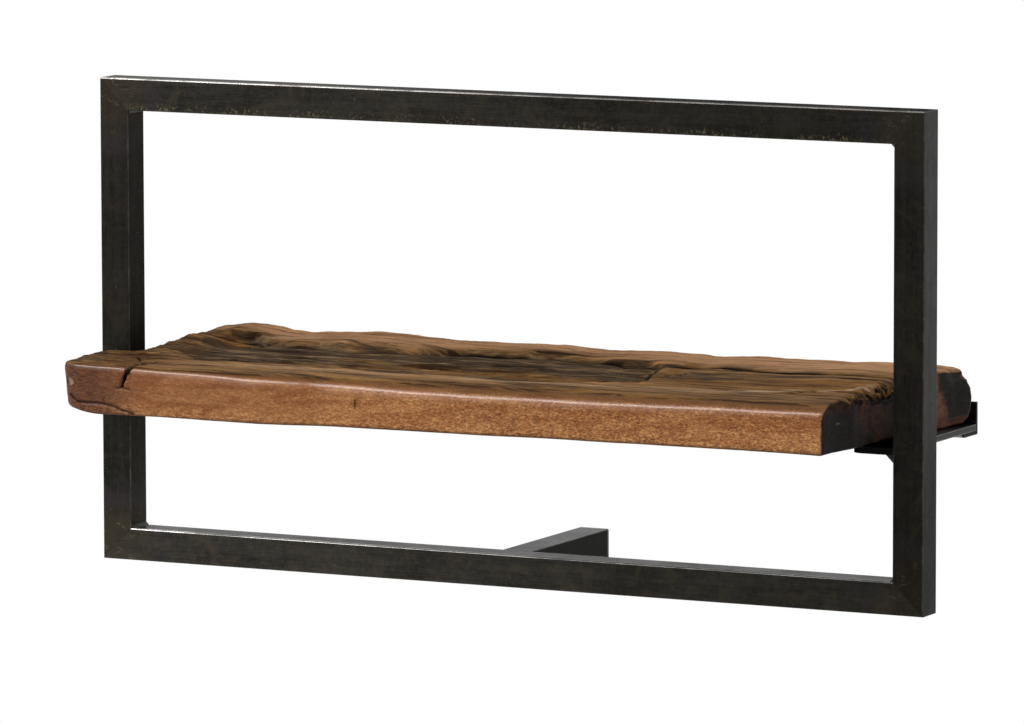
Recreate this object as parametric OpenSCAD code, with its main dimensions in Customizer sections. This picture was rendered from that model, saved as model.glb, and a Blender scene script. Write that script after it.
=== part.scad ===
// Wall shelf: a reclaimed wood board carried inside a welded frame of square steel tube.
// X runs along the wall, +Y points into the wall and +Z up. The wall's surface is the plane y = 0.
// The origin is midway between the two wall screw holes.

/* [Frame] */
// Width over the outer faces of the uprights
frame_w = 700; // [620:10:900]
// Height over the outer faces of the rails
frame_h = 378; // [320:2:500]
// Side of the square tube
tube_size = 25; // [20:1:30]
// Wall thickness of the square tube
tube_wall = 2; // [1.5:0.25:3]
// Outside corner radius of the square tube
tube_corner_r = 1; // [0.5:0.25:3.5]
// Clear distance from the back of the frame to the wall
frame_to_wall = 135; // [110:5:170]
// Leg of the weld in each inner corner of the frame
corner_weld = 2.5; // [1.5:0.5:6]

/* [Support bars] */
// Height of the bars' underside above the foot of the frame
bar_height = 120.5; // [80:0.5:180]
// Width of each flat bar
bar_w = 35; // [26:1:40]
// Thickness of each flat bar
bar_t = 5; // [4:0.5:8]
// Radius of the front inner corner of each bar
bar_corner_r = 10; // [2:1:14]
// Leg of the weld under each bar, against the upright
bar_weld = 6; // [4:0.5:8]

/* [Wall angles] */
// Length of both legs of the steel angle
angle_leg = 25; // [22:1:32]
// Thickness of both legs
angle_t = 3; // [2:0.5:4]
// Diameter of the hole for the wall screw
wall_hole_d = 5.5; // [4:0.5:7]
// Reach of the weld between the angle's front edge and the bar
angle_weld = 7; // [4:0.5:9]

/* [Spacer] */
// Side of the square tube that holds the foot of the frame off the wall
spacer_size = 25; // [18:1:25]
// Wall thickness of the spacer tube
spacer_wall = 2; // [1.5:0.25:3]
// Leg of the weld on each side of the spacer
spacer_weld = 4; // [3:0.5:6]
// Thickness of the cap's head, which touches the wall
cap_head = 2; // [1.5:0.5:4]
// Depth of the cap's plug inside the tube
cap_plug = 12; // [8:1:20]
// Wall thickness of the plug
cap_wall = 1.5; // [1:0.25:2]
// Outside corner radius of the plug
cap_corner_r = 1; // [0.6:0.1:1.5]
// Clearance between the plug and the tube on each side
cap_clear = 0.1; // [0.05:0.05:0.3]

/* [Board] */
// Thickness of the board at its front edge
board_t_front = 37; // [30:0.5:50]
// Thickness of the board at its back edge
board_t_back = 43; // [30:0.5:55]
// Rise of the board's top towards its left end
left_rise = 3; // [0:0.5:5]
// Reach of the front edge before the frame's front face, at the right
front_overhang = 62; // [30:1:80]
// How much further forward the front edge bows at the left
front_bow = 22; // [0:1:30]
// Length of the full bow from the left end
bow_flat = 172; // [100:2:220]
// Length over which the bow runs out
bow_run = 250; // [150:5:320]
// Gap between the board's back edge and the wall
board_wall_gap = 7.5; // [5.5:0.5:15]
// Distance of the front lobe's end inside the frame's left outer face
lobe_inset = 6; // [0:1:15]
// Gap between the lobe and the front face of the left upright
notch_front_gap = 2; // [1:0.5:6]
// Gap between the notch and the inner face of the left upright
notch_side_gap = 5; // [2:0.5:10]
// Gap between the board's right end and the right upright's inner plane, at the front
right_gap_front = 29.5; // [14:0.5:32]
// The same gap where the board passes the frame
right_gap_frame = 21; // [10:0.5:22]
// The same gap at the back
right_gap_back = 1.5; // [1:0.5:12]
// Radius of the lobe's corner seen from above
lobe_corner_r = 20; // [17:1:30]
// Radius of the back corners seen from above
back_corner_r = 9; // [7:1:16]
// Depth of the worn front top edge at the left end
left_round_depth = 6; // [3:0.5:16]
// Depth of the worn front top edge further right
front_round_depth = 20; // [6:1:24]
// Drop of the worn front top edge at the left end
left_round_drop = 4; // [2:0.5:10]
// Drop of the worn front top edge further right
front_round_drop = 10; // [4:0.5:12]
// Length from the left end over which the rise runs out and the front edge's wear deepens
round_run = 340; // [100:10:500]
// Depth of the other worn edges
edge_round = 5; // [2:0.5:6]
// Drop of the other worn edges
edge_drop = 5; // [2:0.5:8]
// Bevel along the foot of the board
foot_bevel = 1.5; // [0.5:0.5:3]
// Rise of the ridge along the back over the rest of the top
ridge_rise = 2; // [0.5:0.5:4]
// Reach of the ridge's worn front slope
ridge_slope = 13; // [4:1:20]
// Depth of the weathered channel in the top
channel_depth = 2.5; // [1:0.5:8]
// Width of the split at the left
split_w = 3; // [1:0.5:5]
// Depth of the split at the front edge
split_depth = 13; // [2:0.5:16]
// Depth of the broken place at the top of the right end
break_depth = 10; // [2:0.5:14]
// Reach of the broken place from the right end, where the board passes the frame
break_reach = 8; // [3:0.5:15]

/* [Board screws] */
// Diameter of the screw shank
screw_d = 4; // [3:0.5:5]
// Length of the screw under its head
screw_len = 22; // [16:1:30]
// Diameter of the screw head
screw_head_d = 8; // [7:0.5:10]
// Height of the screw head
screw_head_h = 2.6; // [2:0.1:3.5]
// Width of the cross recess in the head
screw_slot_w = 0.8; // [0.6:0.1:1.2]
// Depth of the cross recess
screw_slot_depth = 1.8; // [1:0.1:2.4]
// Diameter of the screw's point
screw_point_d = 0.6; // [0.4:0.1:1]
// Clearance round the shank in the bar
screw_bar_clear = 0.3; // [0.2:0.1:0.6]
// Clearance round the shank in the board's pilot hole
screw_pilot_clear = 0.05; // [0.02:0.01:0.2]
// Distance of the screws from the bar's inner edge
screw_inset = 7; // [6:0.5:9]
// Distance of the back screw from the angle weld
screw_weld_gap = 8; // [6:1:20]
// Distance between the two screws of a bar
screw_pitch = 45; // [30:1:60]

/* [Hidden] */
$fn = 48;

steel = "#2b2a27";
weld_steel = "#4a4843";
cap_black = "#1c1c1c";
board_brown = "#8a5a34";
screw_zinc = "#8d8f90";

// Depths, from the wall forwards
frame_back = -frame_to_wall;
frame_front = frame_back - tube_size;
board_back = -board_wall_gap;

// Heights: the wall hole sits midway up the part of the angle that stands above the bar
bar_top = -(angle_leg - angle_t - bar_t) / 2;
bar_bottom = bar_top - bar_t;
angle_bottom = bar_bottom - angle_t;
frame_foot = bar_bottom - bar_height;
frame_head = frame_foot + frame_h;

// Places across the width
side_x = frame_w / 2;
inner_x = side_x - tube_size;
bar_inner_x = inner_x - bar_w;
screw_x = bar_inner_x + screw_inset;
screw_back_y = -angle_leg - angle_weld - screw_weld_gap;
screw_ys = [screw_back_y, screw_back_y - screw_pitch];

// Board outline
board_left = -side_x + lobe_inset;
body_left = -inner_x + notch_side_gap;
notch_y = frame_front - notch_front_gap;
right_front_x = inner_x - right_gap_front;
right_frame_x = inner_x - right_gap_frame;
right_back_x = inner_x - right_gap_back;
board_mid_y = (notch_y + frame_front - front_overhang) / 2;
front_steps = 18;
corner_steps = 5;
pilot_depth = screw_len - bar_t + 1;

// Points of the weathered channel, from the board's left end and from its back edge
channel_points = [
    [50, -44], [123, -66], [202, -69], [266, -50], [341, -47], [429, -41], [451, -45],
    [453, -102], [458, -155], [404, -174], [334, -179], [254, -171], [177, -166], [96, -175], [50, -140]
];

// Front foot of the back ridge, from the board's left side behind the notch and from its back edge
ridge_line = [
    [0, -88], [20, -52], [35, -42], [99, -65], [178, -68], [242, -49], [317, -46], [405, -40], [521, -46],
    [582, -51], [646, -52]
];

// Height of the ridge's crest over or under the board's thickness at the back, along the same length
crest_rise = [
    [0, 1.6], [25, 4.6], [52, 2.9], [80, -0.2], [115, 1.9], [140, 3.4], [190, 1.3], [220, -0.1], [275, 1.1],
    [300, 1.5], [325, 0], [345, -0.6], [380, 0.6], [440, -0.8], [465, 0.6], [520, 0.6], [570, 2.2], [620, 2.2],
    [644, 1.2]
];

// Path of the split, from the board's left end and from its front edge there
split_points = [[60, -2], [58, 14], [53, 32], [57, 41], [66, 47]];

// Profile of the broken place, from the frame's back face: depth as a share of the deepest
break_points = [[-45, 0], [-20, 0.3], [4, 0.5], [12, 1], [26, 0.9], [38, 0.2], [70, 0]];

// Section of a square tube with rounded corners
module rounded_square(size, r) {
    square([size - 2 * r, size], center = true);
    square([size, size - 2 * r], center = true);
    for (x = [-1, 1], y = [-1, 1])
        translate([x * (size / 2 - r), y * (size / 2 - r)]) circle(r);
}

module tube_section(size, wall, corner_r) {
    difference() {
        rounded_square(size, corner_r);
        rounded_square(size - 2 * wall, max(corner_r - wall, 0.3));
    }
}

// Tube along X with its long side on z = 0 and both ends mitred at 45 degrees
module mitred_tube(length) {
    intersection() {
        translate([0, tube_size / 2, tube_size / 2])
            rotate([90, 0, 90])
                linear_extrude(length)
                    tube_section(tube_size, tube_wall, tube_corner_r);
        translate([0, tube_size, 0])
            rotate([90, 0, 0])
                linear_extrude(tube_size)
                    polygon([
                        [0, 0], [length, 0],
                        [length - tube_size, tube_size], [tube_size, tube_size]
                    ]);
    }
}

// Pieces of the right side are mirrored for the left
module on_left() {
    mirror([1, 0, 0]) children();
}

module bottom_rail() {
    color(steel) translate([-side_x, frame_front, frame_foot]) mitred_tube(frame_w);
}

module top_rail() {
    color(steel)
        translate([-side_x, frame_front, frame_head]) mirror([0, 0, 1]) mitred_tube(frame_w);
}

module right_upright() {
    color(steel)
        translate([side_x, frame_front, frame_foot]) rotate([0, -90, 0]) mitred_tube(frame_h);
}

module left_upright() {
    on_left() right_upright();
}

// Flat fillet weld along Y in the inner corner where a rail meets the right upright
module corner_bead(z, up) {
    color(weld_steel)
        translate([inner_x, frame_front + tube_corner_r, z])
            rotate([-90, 0, 0])
                linear_extrude(tube_size - 2 * tube_corner_r)
                    polygon([[0, 0], [-corner_weld, 0], [0, -up * corner_weld]]);
}

module weld_bottom_right() {
    corner_bead(frame_foot + tube_size, 1);
}

module weld_top_right() {
    corner_bead(frame_head - tube_size, -1);
}

module weld_bottom_left() {
    on_left() weld_bottom_right();
}

module weld_top_left() {
    on_left() weld_top_right();
}

// Flat bar along Y, from the frame's front face to the wall angle
module right_support_bar() {
    bar_len = -angle_t - frame_front;
    color(steel)
        translate([bar_inner_x, frame_front, bar_bottom])
            difference() {
                linear_extrude(bar_t) {
                    translate([0, bar_corner_r]) square([bar_w, bar_len - bar_corner_r]);
                    translate([bar_corner_r, 0]) square([bar_w - bar_corner_r, bar_len]);
                    translate([bar_corner_r, bar_corner_r]) circle(bar_corner_r);
                }
                for (y = screw_ys)
                    translate([screw_inset, y - frame_front, -1])
                        cylinder(h = bar_t + 2, r = screw_d / 2 + screw_bar_clear);
            }
}

module left_support_bar() {
    on_left() right_support_bar();
}

// Weld along Y in the corner under the bar, on the upright's inner face
module right_bar_weld() {
    color(weld_steel)
        translate([inner_x, frame_back - tube_corner_r, bar_bottom])
            rotate([90, 0, 0])
                linear_extrude(tube_size - 2 * tube_corner_r)
                    polygon([[0, 0], [-bar_weld, 0], [0, -bar_weld]]);
}

module left_bar_weld() {
    on_left() right_bar_weld();
}

// Steel angle under the bar's end, its upright leg flat on the wall
module right_wall_angle() {
    color(steel)
        difference() {
            translate([bar_inner_x, 0, 0])
                rotate([90, 0, 90])
                    linear_extrude(bar_w)
                        polygon([
                            [0, angle_bottom], [0, angle_bottom + angle_leg],
                            [-angle_t, angle_bottom + angle_leg], [-angle_t, bar_bottom],
                            [-angle_leg, bar_bottom], [-angle_leg, angle_bottom]
                        ]);
            translate([bar_inner_x + bar_w / 2, 1, 0])
                rotate([90, 0, 0]) cylinder(h = angle_t + 2, d = wall_hole_d);
        }
}

module left_wall_angle() {
    on_left() right_wall_angle();
}

// Weld along X between the angle's front edge and the bar's underside
module right_angle_weld() {
    color(weld_steel)
        translate([bar_inner_x + 1, -angle_leg, bar_bottom])
            rotate([90, 0, 90])
                linear_extrude(bar_w - 2)
                    polygon([[0, 0], [-angle_weld, 0], [0, -angle_t]]);
}

module left_angle_weld() {
    on_left() right_angle_weld();
}

// Square tube from the bottom rail's back face to the cap, its top level with the rail's
module spacer_tube() {
    color(steel)
        translate([0, -cap_head, frame_foot + tube_size - spacer_size / 2])
            rotate([90, 0, 0])
                linear_extrude(frame_to_wall - cap_head)
                    tube_section(spacer_size, spacer_wall, tube_corner_r);
}

// Upright weld on each side of the spacer, against the bottom rail
module spacer_welds() {
    color(weld_steel)
        for (side = [0, 1])
            mirror([side, 0, 0])
                translate([spacer_size / 2, frame_back, frame_foot + tube_size - spacer_size + tube_corner_r])
                    linear_extrude(spacer_size - 2 * tube_corner_r)
                        polygon([[0, 0], [spacer_weld, 0], [0, spacer_weld]]);
}

// Push-in cap with a hollow plug, whose head rests on the wall
module spacer_cap() {
    plug_size = spacer_size - 2 * (spacer_wall + cap_clear);
    color(cap_black)
        translate([0, 0, frame_foot + tube_size - spacer_size / 2])
            rotate([90, 0, 0]) {
                linear_extrude(cap_head) rounded_square(spacer_size, tube_corner_r);
                linear_extrude(cap_head + cap_plug)
                    difference() {
                        rounded_square(plug_size, cap_corner_r);
                        rounded_square(plug_size - 2 * cap_wall, cap_corner_r / 2);
                    }
            }
}

// The front edge runs straight at the left, then eases back towards the right
function eased(t) = let (s = min(max(t, 0), 1)) s * s * (3 - 2 * s);
function front_y(x) =
    frame_front - front_overhang - front_bow * (1 - eased((x - board_left - bow_flat) / bow_run));

// Quarter turn of an ellipse round centre c, from angle a0
function corner(c, rx, ry, a0) =
    [for (i = [0 : corner_steps]) let (a = a0 + 90 * i / corner_steps) c + [rx * cos(a), ry * sin(a)]];

// Value that eases from one at the left end to another further right
function from_left(x, left, right) = left + (right - left) * eased((x - board_left) / round_run);

// Board outline from above, anticlockwise, drawn in at the front by a share of its wear and elsewhere by s
function board_outline(share, s) =
    let (
        x0 = board_left + lobe_corner_r,
        x1 = right_front_x - s,
        lobe_y = front_y(board_left) + lobe_corner_r
    )
    concat(
        corner([x0, lobe_y], lobe_corner_r - s, lobe_corner_r - share * left_round_depth, 180),
        [
            for (i = [1 : front_steps])
                let (x = x0 + (x1 - x0) * i / front_steps)
                [x, front_y(x) + share * from_left(x, left_round_depth, front_round_depth)]
        ],
        [[right_frame_x - s, frame_back]],
        corner(
            [right_back_x - back_corner_r, board_back - back_corner_r],
            back_corner_r - s, back_corner_r - s, 0
        ),
        corner(
            [body_left + back_corner_r, board_back - back_corner_r],
            back_corner_r - s, back_corner_r - s, 90
        ),
        [[body_left + s, notch_y - s], [board_left + s, notch_y - s]]
    );

// Height of the board's top in front of the ridge, rising to the back and to the left
function top_z(x, y) =
    let (front = front_y(right_front_x))
    bar_top + board_t_front + from_left(x, left_rise, 0)
        + (board_t_back - ridge_rise - board_t_front) * (y - front) / (board_back - front);

// Drop of the worn edge at a point of the outline
function drop_at(p) =
    p[1] < notch_y - edge_round ? from_left(p[0], left_round_drop, front_round_drop) : edge_drop;

// One level of the board's skin, at an angle of the worn edge's curve, or at a height above the bars
function top_ring(a) = [
    for (p = board_outline(1 - cos(a), edge_round * (1 - cos(a))))
        [p[0], p[1], top_z(p[0], p[1]) - drop_at(p) * (1 - sin(a))]
];
function foot_ring(s, z) = [for (p = board_outline(s / front_round_depth, s)) [p[0], p[1], bar_top + z]];

board_rings = concat(
    [foot_ring(foot_bevel, 0), foot_ring(0, foot_bevel)],
    [for (i = [0 : corner_steps]) top_ring(90 * i / corner_steps)]
);

// Section of the back ridge at a distance from the board's left side, anticlockwise as seen from the right
function ridge_ring(d) =
    let (
        x = body_left + d,
        foot_y = board_back + lookup(d, ridge_line),
        foot = top_z(x, foot_y),
        crest = bar_top + board_t_back + lookup(d, crest_rise),
        low = bar_top + board_t_front / 2,
        back = board_back - foot_bevel
    )
    [
        [x, foot_y - foot_bevel, low],
        [x, back, low],
        [x, back, crest - edge_drop],
        [x, back - edge_round / 3, crest - edge_drop / 3],
        [x, back - edge_round, crest],
        [x, foot_y + ridge_slope, crest - ridge_rise / 3],
        [x, foot_y + ridge_slope / 4, (foot + crest) / 2],
        [x, foot_y - foot_bevel, foot - foot_bevel]
    ];
ridge_end = right_back_x - body_left;
ridge_rings = [
    for (d = concat([for (p = crest_rise) if (p[0] < ridge_end - edge_round) p[0]], [ridge_end]))
        ridge_ring(d)
];

// Solid skinned over rings of equal count, each anticlockwise from above, lowest first.
// Each end is closed by triangles round its middle point.
module skinned(rings, low_mid, high_mid) {
    n = len(rings[0]);
    last = len(rings) - 1;
    low = (last + 1) * n;
    high = low + 1;
    polyhedron(
        points = concat([for (r = rings) each r], [low_mid, high_mid]),
        faces = [
            for (i = [0 : n - 1])
                let (j = (i + 1) % n)
                each concat(
                    [[low, i, j], [high, last * n + j, last * n + i]],
                    [
                        for (k = [0 : last - 1])
                            let (a = k * n + i, b = k * n + j)
                            each [[a, a + n, b + n], [a, b + n, b]]
                    ]
                )
        ]
    );
}

// Ridge left along the back of the top
module back_ridge() {
    mid_y = board_back + lookup(0, ridge_line) / 3;
    mid_z = bar_top + board_t_front * 0.8;
    intersection() {
        skinned(ridge_rings, [body_left, mid_y, mid_z], [right_back_x, mid_y, mid_z]);
        translate([0, 0, bar_top])
            linear_extrude(board_t_back * 2) polygon(board_outline(foot_bevel / front_round_depth, foot_bevel));
    }
}

// Split that runs from the front edge into the top
module left_split() {
    top = top_z(board_left, front_y(board_left));
    for (i = [0 : len(split_points) - 2])
        hull()
            for (k = [i, i + 1])
                translate([
                    board_left + split_points[k][0],
                    front_y(board_left) + split_points[k][1],
                    top - split_depth * (1 - k / len(split_points))
                ])
                    cylinder(h = board_t_back, d = split_w * (1 - k / len(split_points) / 2), $fn = 8);
}

// Broken wood along the top of the right end
module right_break() {
    translate([right_frame_x - break_reach, frame_back, 0])
        rotate([90, 0, 90])
            linear_extrude(break_reach * 4)
                polygon(concat(
                    [for (p = break_points) [p[0], top_z(right_frame_x, frame_back + p[0]) - break_depth * p[1]]],
                    [[break_points[len(break_points) - 1][0], board_t_back], [break_points[0][0], board_t_back]]
                ));
}

// Reclaimed board with a notch round the left upright and pilot holes for its screws
module shelf_board() {
    color(board_brown)
        difference() {
            union() {
                skinned(board_rings, [0, board_mid_y, bar_top], [0, board_mid_y, top_z(0, board_mid_y)]);
                back_ridge();
            }
            translate([board_left, board_back, top_z(0, frame_back) - channel_depth])
                linear_extrude(board_t_back) polygon(channel_points);
            left_split();
            right_break();
            for (side = [-1, 1], y = screw_ys)
                translate([side * screw_x, y, bar_top - 1])
                    cylinder(h = pilot_depth + 1, r = screw_d / 2 + screw_pilot_clear);
        }
}

// Screw driven upwards through the bar, with its head under the bar
module board_screw() {
    tip = screw_d;
    difference() {
        translate([0, 0, -screw_head_h]) {
            cylinder(h = screw_head_h / 2, d1 = screw_head_d * 0.7, d2 = screw_head_d);
            translate([0, 0, screw_head_h / 2]) cylinder(h = screw_head_h / 2, d = screw_head_d);
        }
        for (a = [0, 90])
            rotate(a)
                translate([-screw_d / 2, -screw_slot_w / 2, -screw_head_h - 1])
                    cube([screw_d, screw_slot_w, screw_slot_depth + 1]);
    }
    cylinder(h = screw_len - tip, d = screw_d);
    translate([0, 0, screw_len - tip]) cylinder(h = tip, d1 = screw_d, d2 = screw_point_d);
}

module board_screws() {
    color(screw_zinc)
        for (side = [-1, 1], y = screw_ys)
            translate([side * screw_x, y, bar_bottom]) board_screw();
}

bottom_rail();
top_rail();
left_upright();
right_upright();
weld_bottom_left();
weld_bottom_right();
weld_top_left();
weld_top_right();
left_support_bar();
right_support_bar();
left_bar_weld();
right_bar_weld();
left_wall_angle();
right_wall_angle();
left_angle_weld();
right_angle_weld();
spacer_tube();
spacer_welds();
spacer_cap();
shelf_board();
board_screws();
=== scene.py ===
import math
import bmesh
import bpy
from mathutils import Matrix, Vector, noise


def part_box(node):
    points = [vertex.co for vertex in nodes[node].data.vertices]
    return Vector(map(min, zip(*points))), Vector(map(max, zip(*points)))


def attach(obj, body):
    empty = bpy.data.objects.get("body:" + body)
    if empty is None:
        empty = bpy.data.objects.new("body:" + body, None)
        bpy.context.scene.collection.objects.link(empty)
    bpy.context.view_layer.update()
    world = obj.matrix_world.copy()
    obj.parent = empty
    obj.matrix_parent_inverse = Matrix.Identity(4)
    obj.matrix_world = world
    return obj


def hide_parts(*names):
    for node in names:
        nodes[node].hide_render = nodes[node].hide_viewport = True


# A wall shelf: a thick reclaimed board carried in a welded frame of square steel tube.
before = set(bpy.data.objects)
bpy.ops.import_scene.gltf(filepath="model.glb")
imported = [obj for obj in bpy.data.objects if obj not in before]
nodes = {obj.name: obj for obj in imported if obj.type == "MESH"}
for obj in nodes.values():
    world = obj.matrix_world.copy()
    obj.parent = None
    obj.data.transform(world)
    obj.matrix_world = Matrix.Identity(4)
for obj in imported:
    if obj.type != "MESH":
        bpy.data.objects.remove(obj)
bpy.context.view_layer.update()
print("frame loaded:", len(nodes), "nodes")


# Small helpers, in millimetres

def clamp(value, low=0.0, high=1.0):
    return max(low, min(high, value))


def ease(low, high, value):
    t = clamp((value - low) / (high - low))
    return t * t * (3 - 2 * t)


def bump(value, middle, width):
    return math.exp(-((value - middle) / width) ** 2)


def along(points, value):
    # smooth height or place between given stations, flat past both ends
    if value <= points[0][0]:
        return points[0][1]
    for (a, ya), (b, yb) in zip(points, points[1:]):
        if value <= b:
            return ya + (yb - ya) * ease(a, b, value)
    return points[-1][1]


seedStep = 17.3


def wave(x, y, z=0.0, seed=0):
    return noise.noise(Vector((x, y, z + seedStep * seed)))


def rough(x, y, z=0.0, seed=0, octaves=4):
    return noise.fractal(Vector((x, y, z + seedStep * seed)), 1.0, 2.0, octaves)


def mmBox(node):
    low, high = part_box(node)
    return low * 1000, high * 1000


# Material building blocks

def addNode(tree, kind, inputs=None, **settings):
    node = tree.nodes.new(kind)
    for name, value in settings.items():
        setattr(node, name, value)
    for name, value in (inputs or {}).items():
        socket = node.inputs[name]
        if isinstance(value, bpy.types.NodeSocket):
            tree.links.new(value, socket)
        elif socket.type == "RGBA":
            socket.default_value = (*value, 1)
        else:
            socket.default_value = value
    return node


def treeOf(values):
    # the node tree that the sockets among the values belong to
    return next(value.id_data for value in values if isinstance(value, bpy.types.NodeSocket))


def chain(operation, values, limit=False):
    # works through the values from the first to the last
    tree, result = treeOf(values), values[0]
    for value in values[1:]:
        node = addNode(tree, "ShaderNodeMath", {0: result, 1: value}, operation=operation)
        result = node.outputs[0]
    node.use_clamp = limit
    return result


def times(*values):
    return chain("MULTIPLY", values)


def plus(*values, limit=False):
    return chain("ADD", values, limit)


def minus(*values):
    return chain("SUBTRACT", values)


def largest(*values):
    return chain("MAXIMUM", values)


def smallest(*values):
    return chain("MINIMUM", values)


def vectors(operation, a, b=(0, 0, 0)):
    node = addNode(treeOf((a, b)), "ShaderNodeVectorMath", {0: a, 1: b}, operation=operation)
    return node.outputs[1] if operation == "LENGTH" else node.outputs[0]


def axes(vector):
    return addNode(vector.id_data, "ShaderNodeSeparateXYZ", {0: vector}).outputs


def speckle(place, stretch, detail, roughness, twist=0.0):
    # noise with this many cells per millimetre in x, y and z
    settings = {"Scale": 1.0, "Detail": detail, "Roughness": roughness, "Distortion": twist}
    stretched = vectors("MULTIPLY", place, stretch)
    return addNode(place.id_data, "ShaderNodeTexNoise", {"Vector": stretched, **settings}).outputs["Fac"]


def speckles(place, kinds):
    return {name: speckle(place, *kind) for name, kind in kinds.items()}


def spread(value, low, high, outLow=0.0, outHigh=1.0):
    # eases from one end value to the other between low and high
    inputs = {"Value": value, "From Min": low, "From Max": high, "To Min": outLow, "To Max": outHigh}
    node = addNode(value.id_data, "ShaderNodeMapRange", inputs, interpolation_type="SMOOTHSTEP")
    return node.outputs["Result"]


def blend(factor, a, b, mode="MIX"):
    inputs = {0: factor, 6: a, 7: b}
    node = addNode(treeOf(inputs.values()), "ShaderNodeMix", inputs, data_type="RGBA", blend_type=mode)
    return node.outputs[2]


def tinted(factor, colour, tint):
    return blend(factor, colour, tint, "MULTIPLY")


def millimetres(tree):
    place = addNode(tree, "ShaderNodeTexCoord").outputs["Object"]
    return vectors("MULTIPLY", place, (1000, 1000, 1000))


def normalOf(tree):
    return addNode(tree, "ShaderNodeNewGeometry").outputs["Normal"]


def painted(tree, name):
    return addNode(tree, "ShaderNodeAttribute", attribute_name=name).outputs["Fac"]


def newMaterial(name):
    material = bpy.data.materials.new(name)
    material.use_nodes = True
    material.node_tree.nodes.clear()
    return material, material.node_tree


def finishMaterial(tree, colour, roughness, height, reach, metallic=0.0, constants=None, linked=None):
    relief = addNode(tree, "ShaderNodeBump", {"Height": height, "Strength": 1.0, "Distance": reach})
    shader = addNode(
        tree, "ShaderNodeBsdfPrincipled",
        {"Base Color": colour, "Roughness": roughness, "Metallic": metallic, "Normal": relief.outputs[0]},
    )
    for name, value in (constants or {}).items():
        shader.inputs[name].default_value = value
    for name, socket in (linked or {}).items():
        tree.links.new(socket, shader.inputs[name])
    output = addNode(tree, "ShaderNodeOutputMaterial")
    tree.links.new(shader.outputs[0], output.inputs[0])


socketKinds = {"value": "NodeSocketFloat", "vector": "NodeSocketVector", "colour": "NodeSocketColor"}


def newGroup(name, inputs, outputs):
    tree = bpy.data.node_groups.new(name, "ShaderNodeTree")
    for label, (kind, value) in inputs.items():
        socket = tree.interface.new_socket(label, in_out="INPUT", socket_type=socketKinds[kind])
        socket.default_value = (*value, 1) if kind == "colour" else value
    for label, kind in outputs.items():
        tree.interface.new_socket(label, in_out="OUTPUT", socket_type=socketKinds[kind])
    enter = tree.nodes.new("NodeGroupInput")
    leave = tree.nodes.new("NodeGroupOutput")
    return tree, enter.outputs, leave.inputs


def giveOutputs(tree, result, values):
    for name, value in values.items():
        tree.links.new(value, result[name])


def useGroup(tree, group, inputs):
    return addNode(tree, "ShaderNodeGroup", inputs, node_tree=group).outputs


# Shared shader groups

def edgeWearGroup():
    # bare metal along the long edges of a box, broken up by noise
    tree, given, result = newGroup(
        "edgeWear",
        {"Place": ("vector", (0, 0, 0)), "Middle": ("vector", (0, 0, 0)), "Half": ("vector", (1, 1, 1)),
         "Width": ("value", 1.5), "Breakup": ("value", 1.0)},
        {"Mask": "value"},
    )
    offset = vectors("ABSOLUTE", vectors("SUBTRACT", given["Place"], given["Middle"]))
    gaps = axes(vectors("SUBTRACT", given["Half"], offset))
    # the second smallest of the three gaps is small only along an edge
    least, most, total = smallest(*gaps), largest(*gaps), plus(*gaps)
    ragged = speckle(given["Place"], (0.09, 0.09, 0.09), 6.0, 0.7)
    shift = times(minus(ragged, 0.52), times(given["Breakup"], 9.0))
    edge = plus(minus(total, least, most), shift)
    giveOutputs(tree, result, {"Mask": spread(chain("DIVIDE", (edge, given["Width"])), 1.0, 0.0)})
    return tree


rolledSteel = {
    "clouds": {
        "cloud": ((0.02, 0.02, 0.02), 4.0, 0.55, 0.6),
        "stain": ((0.035, 0.05, 0.05), 5.0, 0.6, 1.2),
        "speck": ((0.55, 0.55, 0.55), 2.0, 0.5),
        "mottle": ((0.22, 0.22, 0.22), 5.0, 0.7, 0.5),
    },
    "scratch": ((1, 1, 1), 5.0, 0.7),
    "bands": ((0.3, 0.22, 0.22), 3.0, 0.5),
    "scrape": ((1, 1, 1), 3.0, 0.6),
    "dots": (0.22, 0.21, 0.19),
}


def millSteelGroup():
    # rolled steel: fine lengthwise scratches, cloudy scale, brown stains and pale specks
    tree, given, result = newGroup(
        "millSteel",
        {"Place": ("vector", (0, 0, 0)), "Stretch": ("vector", (1, 1, 1)),
         "Dark": ("colour", (0.02, 0.019, 0.017)), "Light": ("colour", (0.05, 0.048, 0.043)),
         "Stain": ("colour", (0.05, 0.04, 0.022)), "Stained": ("value", 0.5)},
        {"Color": "colour", "Roughness": "value", "Height": "value"},
    )
    place, stretch = given["Place"], given["Stretch"]
    lined = vectors("MULTIPLY", place, stretch)
    crossed = vectors("MULTIPLY", place, vectors("SUBTRACT", (0.95, 0.95, 0.95), stretch))
    scratch = speckle(lined, *rolledSteel["scratch"])
    bands = speckle(lined, *rolledSteel["bands"])
    scrape = speckle(crossed, *rolledSteel["scrape"])
    clouds = speckles(place, rolledSteel["clouds"])
    tone = plus(
        times(spread(scratch, 0.3, 0.72), 0.45),
        times(spread(bands, 0.35, 0.68), 0.3),
        times(spread(clouds["cloud"], 0.36, 0.64), 0.3),
        times(spread(clouds["mottle"], 0.42, 0.66), 0.35),
        times(spread(scrape, 0.58, 0.72), 0.3),
        limit=True,
    )
    stained = times(spread(clouds["stain"], 0.5, 0.68), given["Stained"])
    dots = times(spread(clouds["speck"], 0.73, 0.8), 0.7)
    colour = blend(tone, given["Dark"], given["Light"])
    colour = blend(stained, colour, given["Stain"])
    colour = blend(dots, colour, rolledSteel["dots"])
    polish = plus(times(clouds["cloud"], 0.22), times(scratch, 0.16), times(stained, 0.1))
    relief = plus(times(scratch, 0.5), times(clouds["stain"], 0.5), times(dots, 0.4))
    giveOutputs(tree, result, {"Color": colour, "Roughness": polish, "Height": relief})
    return tree


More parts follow.
